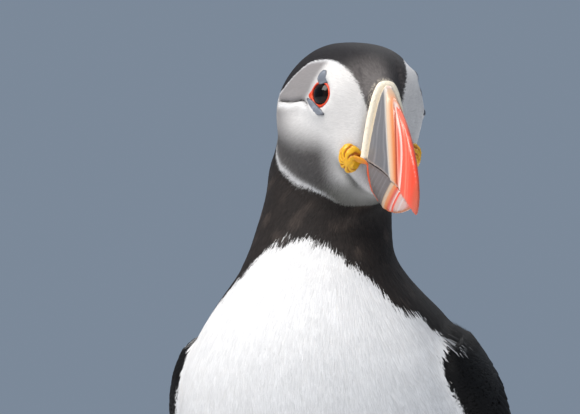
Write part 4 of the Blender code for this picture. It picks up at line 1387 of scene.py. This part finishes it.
def build_bill():
    horn = marked_finish("bill_horn", 0.34, grain=2.5, spread=0.05, bump=0.02, Coat_Weight=0.15,
                         Coat_Roughness=0.25)
    net = remeshed(("bill_upper",), 0.34, 7)
    tone, height = upper_bill_look(net.points)
    near = distance_to(("cere",), net.points, 3.0)
    tone = mix(tone, CERE_CREAM, 1 - ease(near, 0.5, 1.1))
    net.swell(height * ease(near, 0.4, 1.5))
    lip = distance_to(("bill_lower",), net.points, 3.0)
    tone = mix(tone, LIP_PALE, 0.8 * bell(lip - 0.7, 0.35))
    upper = marked_piece("bill_upper", net, horn, tone)
    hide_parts("bill_upper")
    net = remeshed(("bill_lower",), 0.34, 7)
    tone, height = lower_bill_look(net.points, net.normals())
    near = distance_to(("head",), net.points, 4.0)
    tone = mix(tone, GAPE_RED, 1 - ease(near, 1.7, 2.3))
    net.swell(height + 0.3 * bell(near - 1.3, 0.8))
    lower = marked_piece("bill_lower", net, horn, tone)
    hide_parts("bill_lower")


# Places along the fleshy strip, how many of them lead from the rosette to the bill, and the
# points round it.
GAPE_STEPS = 60
GAPE_LEAD = 12
GAPE_SIDES = 16


def build_gape(side, finish):
    """The fleshy strip from the rosette and corner of the mouth down round the base of the
    lower bill."""
    outward = HEAD_L * SIDES[side]
    rim = remeshed(("bill_lower",), 0.4).points
    f, u, l = on_head(rim)
    outer = np.where(l * SIDES[side] > 0, np.abs(l) - 1.2 * f, -100.0)
    levels = np.linspace(u.max() - 0.6, u.min() + 1.2, GAPE_STEPS - GAPE_LEAD)
    line = np.array([rim[np.argmax(np.where(np.abs(u - level) < 0.5, outer, -200.0))]
                     for level in levels])
    first = middle("rosette_" + side) + 1.2 * HEAD_F + 1.0 * HEAD_U + 0.6 * outward
    lead = first + (line[0] - first) * np.linspace(0, 1, GAPE_LEAD + 1)[:-1, None]
    line = smoothed(np.concatenate((lead, line)), 12)
    steps = np.linspace(0, 1, GAPE_STEPS)
    along = unit(np.gradient(line, axis=0))
    out = unit(np.broadcast_to(outward + 0.3 * HEAD_F, line.shape))
    across = unit(np.cross(along, out))
    ends = np.sqrt(np.clip(np.minimum(steps, 1 - steps) * 8, 0.05, 1))
    wide = (0.42 + 0.75 * (1 - ease(steps, 0.05, 0.28))) * ends
    high = 0.30 + 0.5 * (wide - 0.42).clip(0)
    points, groups = tube(line + out * 0.1, across, out, wide, high, sides=GAPE_SIDES)
    points = points + out[0] * (0.07 * lumps(points, 0.6))[:, None]
    place = np.concatenate((np.repeat(steps, GAPE_SIDES), (0, 1)))
    tone = mix(GAPE_YELLOW, GAPE_RED, ease(place, 0.12, 0.26))
    new_piece("gape_" + side, points, groups, finish, {"marking": tone})


def build_cere():
    net = remeshed(("cere",), 0.3, 2)
    grains = lumps(net.points, 0.5) + 0.6 * lumps(net.points, 0.3, 3.0)
    near = distance_to(("head",), net.points, 3.0)
    _, u, _ = on_head(net.points)
    dotted = bell(near - 0.35, 0.35) * ease(lumps(net.points, 0.35, 5.0), 0.0, 0.4) * ease(-u, 3, 9)
    tone = painted(CERE_CREAM, (CERE_SHADE, 0.4 * ease(grains, 0.2, 1.2)), (CERE_DOT, 0.8 * dotted))
    net.swell(0.025 * grains + 0.05 * dotted)
    finish = marked_finish("cere_skin", 0.55, grain=4.0, spread=0.08, bump=0.04)
    piece = marked_piece("cere", net, finish, tone)
    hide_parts("cere")


ROSETTE_FOLDS = 13.0


def build_rosette(side, finish):
    node = "rosette_" + side
    net = remeshed((node,), 0.22, 4)
    f, u, _ = on_head(net.points)
    ahead, below = np.quantile(f, 0.85), np.quantile(u, 0.38)
    turn = np.arctan2(u - below, ahead - f)
    reach = np.hypot(u - below, ahead - f)
    wave = np.cos(ROSETTE_FOLDS * turn + 1.3 * np.sin(0.9 * reach) + 1.2 * lumps(net.points, 2.0))
    furrow = ease(-wave, 0.45, 0.95) * ease(reach, 0.8, 2.2)
    rim = 0.5 * bell(wave - 1, 0.6) * ease(reach, 1.0, 3.0)
    # Painted shade down in the furrows and a painted highlight on the crests.
    tone = painted(ROSETTE_YELLOW, (ROSETTE_FURROW_SHADE, 0.9 * furrow), (ROSETTE_CREST_HIGHLIGHT, 0.5 * rim))
    grains = lumps(net.points, 0.6) + 0.8 * lumps(net.points, 1.1, 4.0)
    net.swell(0.2 * rim - 0.42 * furrow + 0.09 * grains)
    piece = marked_piece(node, net, finish, tone)
    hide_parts(node)


# ---------------------------------------------------------------- eyes

PUPIL_TURN = math.radians(24.0)
IRIS_TURN = math.radians(41.0)
EYE_ROWS = 60
EYE_COLUMNS = 72
# Half the width and height of the opening round the ball.
EYE_WINDOW = (3.5, 3.25)
# How far the middle lines of the bare ring and the plates stand off the skin.
LID_PROUD = 0.16
PLATE_STEPS = 32
PLATE_SIDES = 28
# The horny plates: a spine of (ahead, up) places across the seat, half widths along it, and how
# high they are.
PLATES = {"upper": (((-0.2, 3.3), (-1.3, 5.1), (-2.7, 6.8)),
                    ((0.0, 2.1), (0.3, 2.3), (0.65, 2.0), (0.88, 1.4), (1.0, 0.5)), 0.5),
          "lower": (((-4.5, -3.1), (0.4, -4.75), (5.4, -4.9)),
                    ((0.0, 0.35), (0.2, 0.95), (0.55, 1.2), (0.85, 0.9), (1.0, 0.25)), 0.44)}

PUPIL_BLACK = colour(8, 7, 8)
IRIS_BROWN = colour(26, 17, 14)
EYE_EDGE = colour(14, 10, 10)
LID_RED = colour(222, 66, 30)
LID_PALE = colour(244, 118, 70)
PLATE_GREY = colour(114, 118, 127)
PLATE_PALE = colour(156, 160, 170)
PLATE_DARK = colour(52, 52, 60)


def build_eye(side, seat, finish):
    """A fine smooth ball: pupil, dark brown iris, and the black edge under the lids."""
    node = "eye_" + side
    low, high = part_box(node)
    radius = ((np.array(high) - np.array(low)) / 2 / MM).mean()
    rows, columns = EYE_ROWS, EYE_COLUMNS
    turn = (math.pi * np.arange(1, rows) / rows)[:, None, None]
    swing = (2 * math.pi * np.arange(columns) / columns)[:, None]
    across = seat.up * np.cos(swing) + seat.ahead * np.sin(swing)
    ball = (seat.out * np.cos(turn) + across * np.sin(turn)).reshape(-1, 3)
    points = np.concatenate((seat.out[None], ball, -seat.out[None]))
    index = 1 + np.arange((rows - 1) * columns).reshape(rows - 1, columns)
    ring = np.roll(index, -1, axis=1)
    quads = np.stack((index[:-1], ring[:-1], ring[1:], index[1:]), -1).reshape(-1, 4)
    first = np.stack((np.zeros(columns, int), ring[0], index[0]), 1)
    last = np.stack((np.full(columns, len(points) - 1), index[-1], ring[-1]), 1)
    turn = np.arccos(np.clip(points @ seat.out, -1, 1))
    tone = painted(PUPIL_BLACK, (IRIS_BROWN, ease(turn, PUPIL_TURN - 0.03, PUPIL_TURN + 0.03)),
                   (EYE_EDGE, ease(turn, IRIS_TURN - 0.12, IRIS_TURN + 0.02)))
    piece = new_piece(node, seat.ball + points * radius, [quads, np.concatenate((first, last))],
                      finish, {"marking": tone})
    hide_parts(node)


def build_ring(side, seat, pelt, finish):
    """The bare red skin round the eye, drawn out to a corner at the fold behind it."""
    turn = 2 * np.pi * np.arange(120) / 120
    degrees = np.degrees(turn)
    corner = bell(degrees - 206, 15)
    brow = bell(degrees - 96, 34)
    front = bell((degrees + 180) % 360 - 180, 60)
    foot = bell(degrees - 286, 20)
    rim = 0.62 + 1.2 * corner + 0.3 * brow + 0.45 * foot - 0.18 * front
    wide = rim / 2
    ahead, up = (EYE_WINDOW[0] + wide) * np.cos(turn), (EYE_WINDOW[1] + wide) * np.sin(turn)
    line = seat.settled(pelt, ahead, up, LID_PROUD)
    away = seat.place(np.cos(turn), np.sin(turn), 0 * turn) - seat.ball
    out = np.broadcast_to(seat.out, line.shape)
    points, faces = tube(line, away, out, wide, 0.36 + 0 * turn, closed=True, sides=20)
    points = points + out[0] * (0.05 * lumps(points, 0.45))[:, None]
    tone = mix(LID_RED, LID_PALE, 0.45 * ease(lumps(points, 0.6), 0.1, 1))
    piece = new_piece("eye_ring_" + side, points, faces, finish, {"marking": tone})
    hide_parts("eye_ring_" + side)
    return points, faces


def build_plate(level, side, seat, pelt, finish):
    """A horny plate above or below the eye."""
    node = f"eye_plate_{level}_{side}"
    spine, wide, high = PLATES[level]
    steps = np.linspace(0, 1, PLATE_STEPS)
    knots = np.linspace(0, 1, len(spine))
    ahead, up = (along_curve(tuple(zip(knots, column)), steps) for column in zip(*spine))
    half = along_curve(wide, steps)
    line = smoothed(seat.settled(pelt, ahead, up, LID_PROUD), 20)
    along = unit(np.gradient(line, axis=0))
    across = unit(np.cross(along, seat.out))
    out = np.cross(across, along)
    out = out * np.sign(out @ seat.out)[:, None]
    thick = high * np.minimum(1, half / half.max() + 0.35)
    points, faces = tube(line, across, out, half, thick, sides=PLATE_SIDES)
    turn = 2 * np.pi * np.arange(PLATE_SIDES) / PLATE_SIDES
    edge = np.concatenate((np.tile(np.abs(np.cos(turn)), PLATE_STEPS), (1.0, 1.0)))
    end = np.maximum(ease(steps, 0.88, 1.0), 1 - ease(steps, 0.0, 0.1))
    end = np.concatenate((np.repeat(end, PLATE_SIDES), (1.0, 1.0)))
    dark = np.maximum(ease(edge + 0.06 * lumps(points, 0.5), 0.72, 0.97), end)
    rough = 0.04 * lumps(points, 0.7) + 0.02 * lumps(points, 0.3)
    points = points + out[PLATE_STEPS // 2] * rough[:, None]
    tone = painted(PLATE_GREY, (PLATE_PALE, 0.5 * ease(lumps(points, 0.9, 2.0), 0, 1)),
                   (PLATE_DARK, 0.85 * dark))
    piece = new_piece(node, points, faces, finish, {"marking": tone})
    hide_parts(node)
    return points, faces


def build_eyes(pelt):
    """The eyes and what is bare round them, which they give back as points and faces."""
    gloss = marked_finish("eye_gloss", 0.07, grain=3.0, spread=0.03, bump=0.0, Coat_Weight=0.06,
                          Coat_Roughness=0.02, Specular_IOR_Level=0.16)
    lid = marked_finish("lid_skin", 0.38, grain=6.0, spread=0.1, bump=0.03)
    horn = marked_finish("plate_horn", 0.5, grain=4.0, spread=0.1, bump=0.04)
    bare = []
    for side in SIDES:
        seat = EyeSeat(side)
        build_eye(side, seat, gloss)
        bare.append(build_ring(side, seat, pelt, lid))
        bare += [build_plate(level, side, seat, pelt, horn) for level in PLATES]
    return bare


# ---------------------------------------------------------------- legs and claws

LEG_ORANGE = colour(226, 92, 44)
LEG_PALE = colour(244, 150, 96)
CLAW_BLACK = colour(40, 36, 36)


def build_legs():
    scaly = marked_finish("leg_skin", 0.45, grain=2.0, spread=0.1, bump=0.05)
    horn = marked_finish("claw_horn", 0.3, grain=2.0, spread=0.1, bump=0.02)
    for side in SIDES:
        nodes = ("tarsus_" + side, "foot_" + side)
        net = bridged(nodes, 0.6, 0.9)
        net.points = net.relaxed(net.points - net.normals() * 0.9, 3)
        top = net.points[:, 2].max()
        shin = unit(middle("thigh_" + side) - middle("tarsus_" + side))
        net.points += shin * (4.0 * ease(net.points[:, 2], top - 4.0, top - 0.5))[:, None]
        net.points[:, 2] = np.maximum(net.points[:, 2], 0.0)
        scutes = lumps(net.points, 1.1) + 0.5 * lumps(net.points, 0.6, 2.0)
        net.swell(0.10 * scutes * ease(net.points[:, 2], 0.2, 1.0))
        net.points[:, 2] = np.maximum(net.points[:, 2], 0.0)
        tone = mix(LEG_ORANGE, LEG_PALE, 0.45 * ease(scutes, 0, 1.2))
        piece = marked_piece("leg_" + side, net, scaly, tone)
        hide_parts(*nodes)
        for toe in ("inner", "middle", "outer"):
            node = f"claw_{toe}_{side}"
            net = remeshed((node,), 0.28, 2)
            into_toe = unit(middle("foot_" + side) - middle(node))
            level = net.points @ into_toe
            base = ease(level, np.quantile(level, 0.6), level.max())
            net.points += into_toe * (1.8 * base)[:, None]
            tone = np.tile(CLAW_BLACK, (len(net.points), 1))
            piece = marked_piece(node, net, horn, tone)
            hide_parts(node)


# ---------------------------------------------------------------- floor, light and camera

# The camera stands this far round from straight ahead, and aims beside and below the bill's root.
CAMERA_TURN = 25.0
CAMERA_DISTANCE = 4000.0
FRAME_WIDTH = 178.5
SENSOR = 36.0
AIM_ACROSS = -29.7
AIM_UP = -37.3
AIM_BEHIND = 50.0

BACKDROP = (0.20, 0.25, 0.32, 1.0)
# Each lamp: how far right of the bird's middle, towards the camera and up it hangs, how far above
# the middle it aims, its width, its power and its tint.
LAMPS = {"key": (-850, 760, 1600, 40, 1100, 50.0, (1.0, 0.975, 0.94)),
         "fill": (1200, 1000, 300, 0, 900, 1.5, (0.93, 0.96, 1.0)),
         "rim": (300, -1000, 900, 40, 500, 5.0, (1.0, 1.0, 1.0))}
FLOOR_RADIUS = 2500.0
FLOOR_RINGS = 24
FLOOR_SIDES = 96
FLOOR_TONES = ((0.70, 0.71, 0.73, 1.0), (0.76, 0.77, 0.78, 1.0))


def put(name, data, place, looking):
    """An object at this place, looking this way with its up side up."""
    made = bpy.data.objects.new(name, data)
    bpy.context.scene.collection.objects.link(made)
    made.location = Vector(place * MM)
    made.rotation_mode = "QUATERNION"
    made.rotation_quaternion = Vector(looking).to_track_quat("-Z", "Y")
    return made


def build_camera():
    turn = math.radians(CAMERA_TURN)
    right = np.array((math.cos(turn), math.sin(turn), 0.0))
    back = np.array((math.sin(turn), -math.cos(turn), 0.0))
    aim = BILL_ROOT + right * AIM_ACROSS + UP * AIM_UP - back * AIM_BEHIND
    lens = bpy.data.cameras.new("camera")
    lens.sensor_width = SENSOR
    lens.lens = SENSOR * CAMERA_DISTANCE / FRAME_WIDTH
    lens.clip_start = 0.1
    lens.clip_end = 50.0
    bpy.context.scene.camera = put("camera", lens, aim + back * CAMERA_DISTANCE, -back)
    return right, back


def light_studio(right, back):
    low, high = CAD_BOX
    centre = (np.array(low) + np.array(high)) / 2 / MM
    world = bpy.data.worlds.new("studio")
    bpy.context.scene.world = world
    world.use_nodes = True
    world.node_tree.nodes["Background"].inputs["Color"].default_value = BACKDROP
    world.node_tree.nodes["Background"].inputs["Strength"].default_value = 1.0
    for name, (across, near, above, aim, size, power, tint) in LAMPS.items():
        light = bpy.data.lights.new(name, "AREA")
        light.size = size * MM
        light.energy = power
        light.color = tint
        place = centre + right * across + back * near + UP * above
        put(name, light, place, centre + UP * aim - place)


def floor_finish():
    made = Finish("floor", 0.9)
    tones = {"Factor": made.noise(0.02, detail=4.0), 6: FLOOR_TONES[0], 7: FLOOR_TONES[1]}
    made.feed("Base Color", made.node("Mix", tones, data_type="RGBA")[2])
    return made.material


def build_floor():
    """A wide round floor, its rings closer together towards the bird."""
    reach = FLOOR_RADIUS * (np.arange(1, FLOOR_RINGS + 1) / FLOOR_RINGS) ** 1.5
    turn = 2 * math.pi * np.arange(FLOOR_SIDES) / FLOOR_SIDES
    around = np.stack((np.cos(turn), np.sin(turn), 0 * turn), 1)
    points = np.concatenate((np.zeros((1, 3)), (reach[:, None, None] * around).reshape(-1, 3)))
    index = 1 + np.arange(FLOOR_RINGS * FLOOR_SIDES).reshape(FLOOR_RINGS, FLOOR_SIDES)
    ring = np.roll(index, -1, axis=1)
    first = np.stack((0 * index[0], index[0], ring[0]), 1)
    rest = np.stack((index[:-1], index[1:], ring[1:], ring[:-1]), -1).reshape(-1, 4)
    mesh = bpy.data.meshes.new("floor")
    mesh.from_pydata((points * MM).tolist(), [], first.tolist() + rest.tolist())
    mesh.materials.append(floor_finish())
    floor = bpy.data.objects.new("floor", mesh)
    bpy.context.scene.collection.objects.link(floor)


# ---------------------------------------------------------------- the whole bird

def main():
    bpy.context.scene.view_settings.view_transform = "Standard"
    light_studio(*build_camera())
    build_floor()
    pelt = build_skin()
    bare = tree_round(build_eyes(pelt))
    pelt.features = np.minimum(pelt.features, distance_from(bare, pelt.points, 6.0))
    build_coat(pelt)
    build_wings(pelt)
    build_tail()
    build_bill()
    build_cere()
    fleshy = marked_finish("rosette_skin", 0.42, grain=3.0, spread=0.06, bump=0.03,
                           Subsurface_Weight=0.1)
    for side in SIDES:
        build_rosette(side, fleshy)
        build_gape(side, fleshy)
    build_legs()


main()
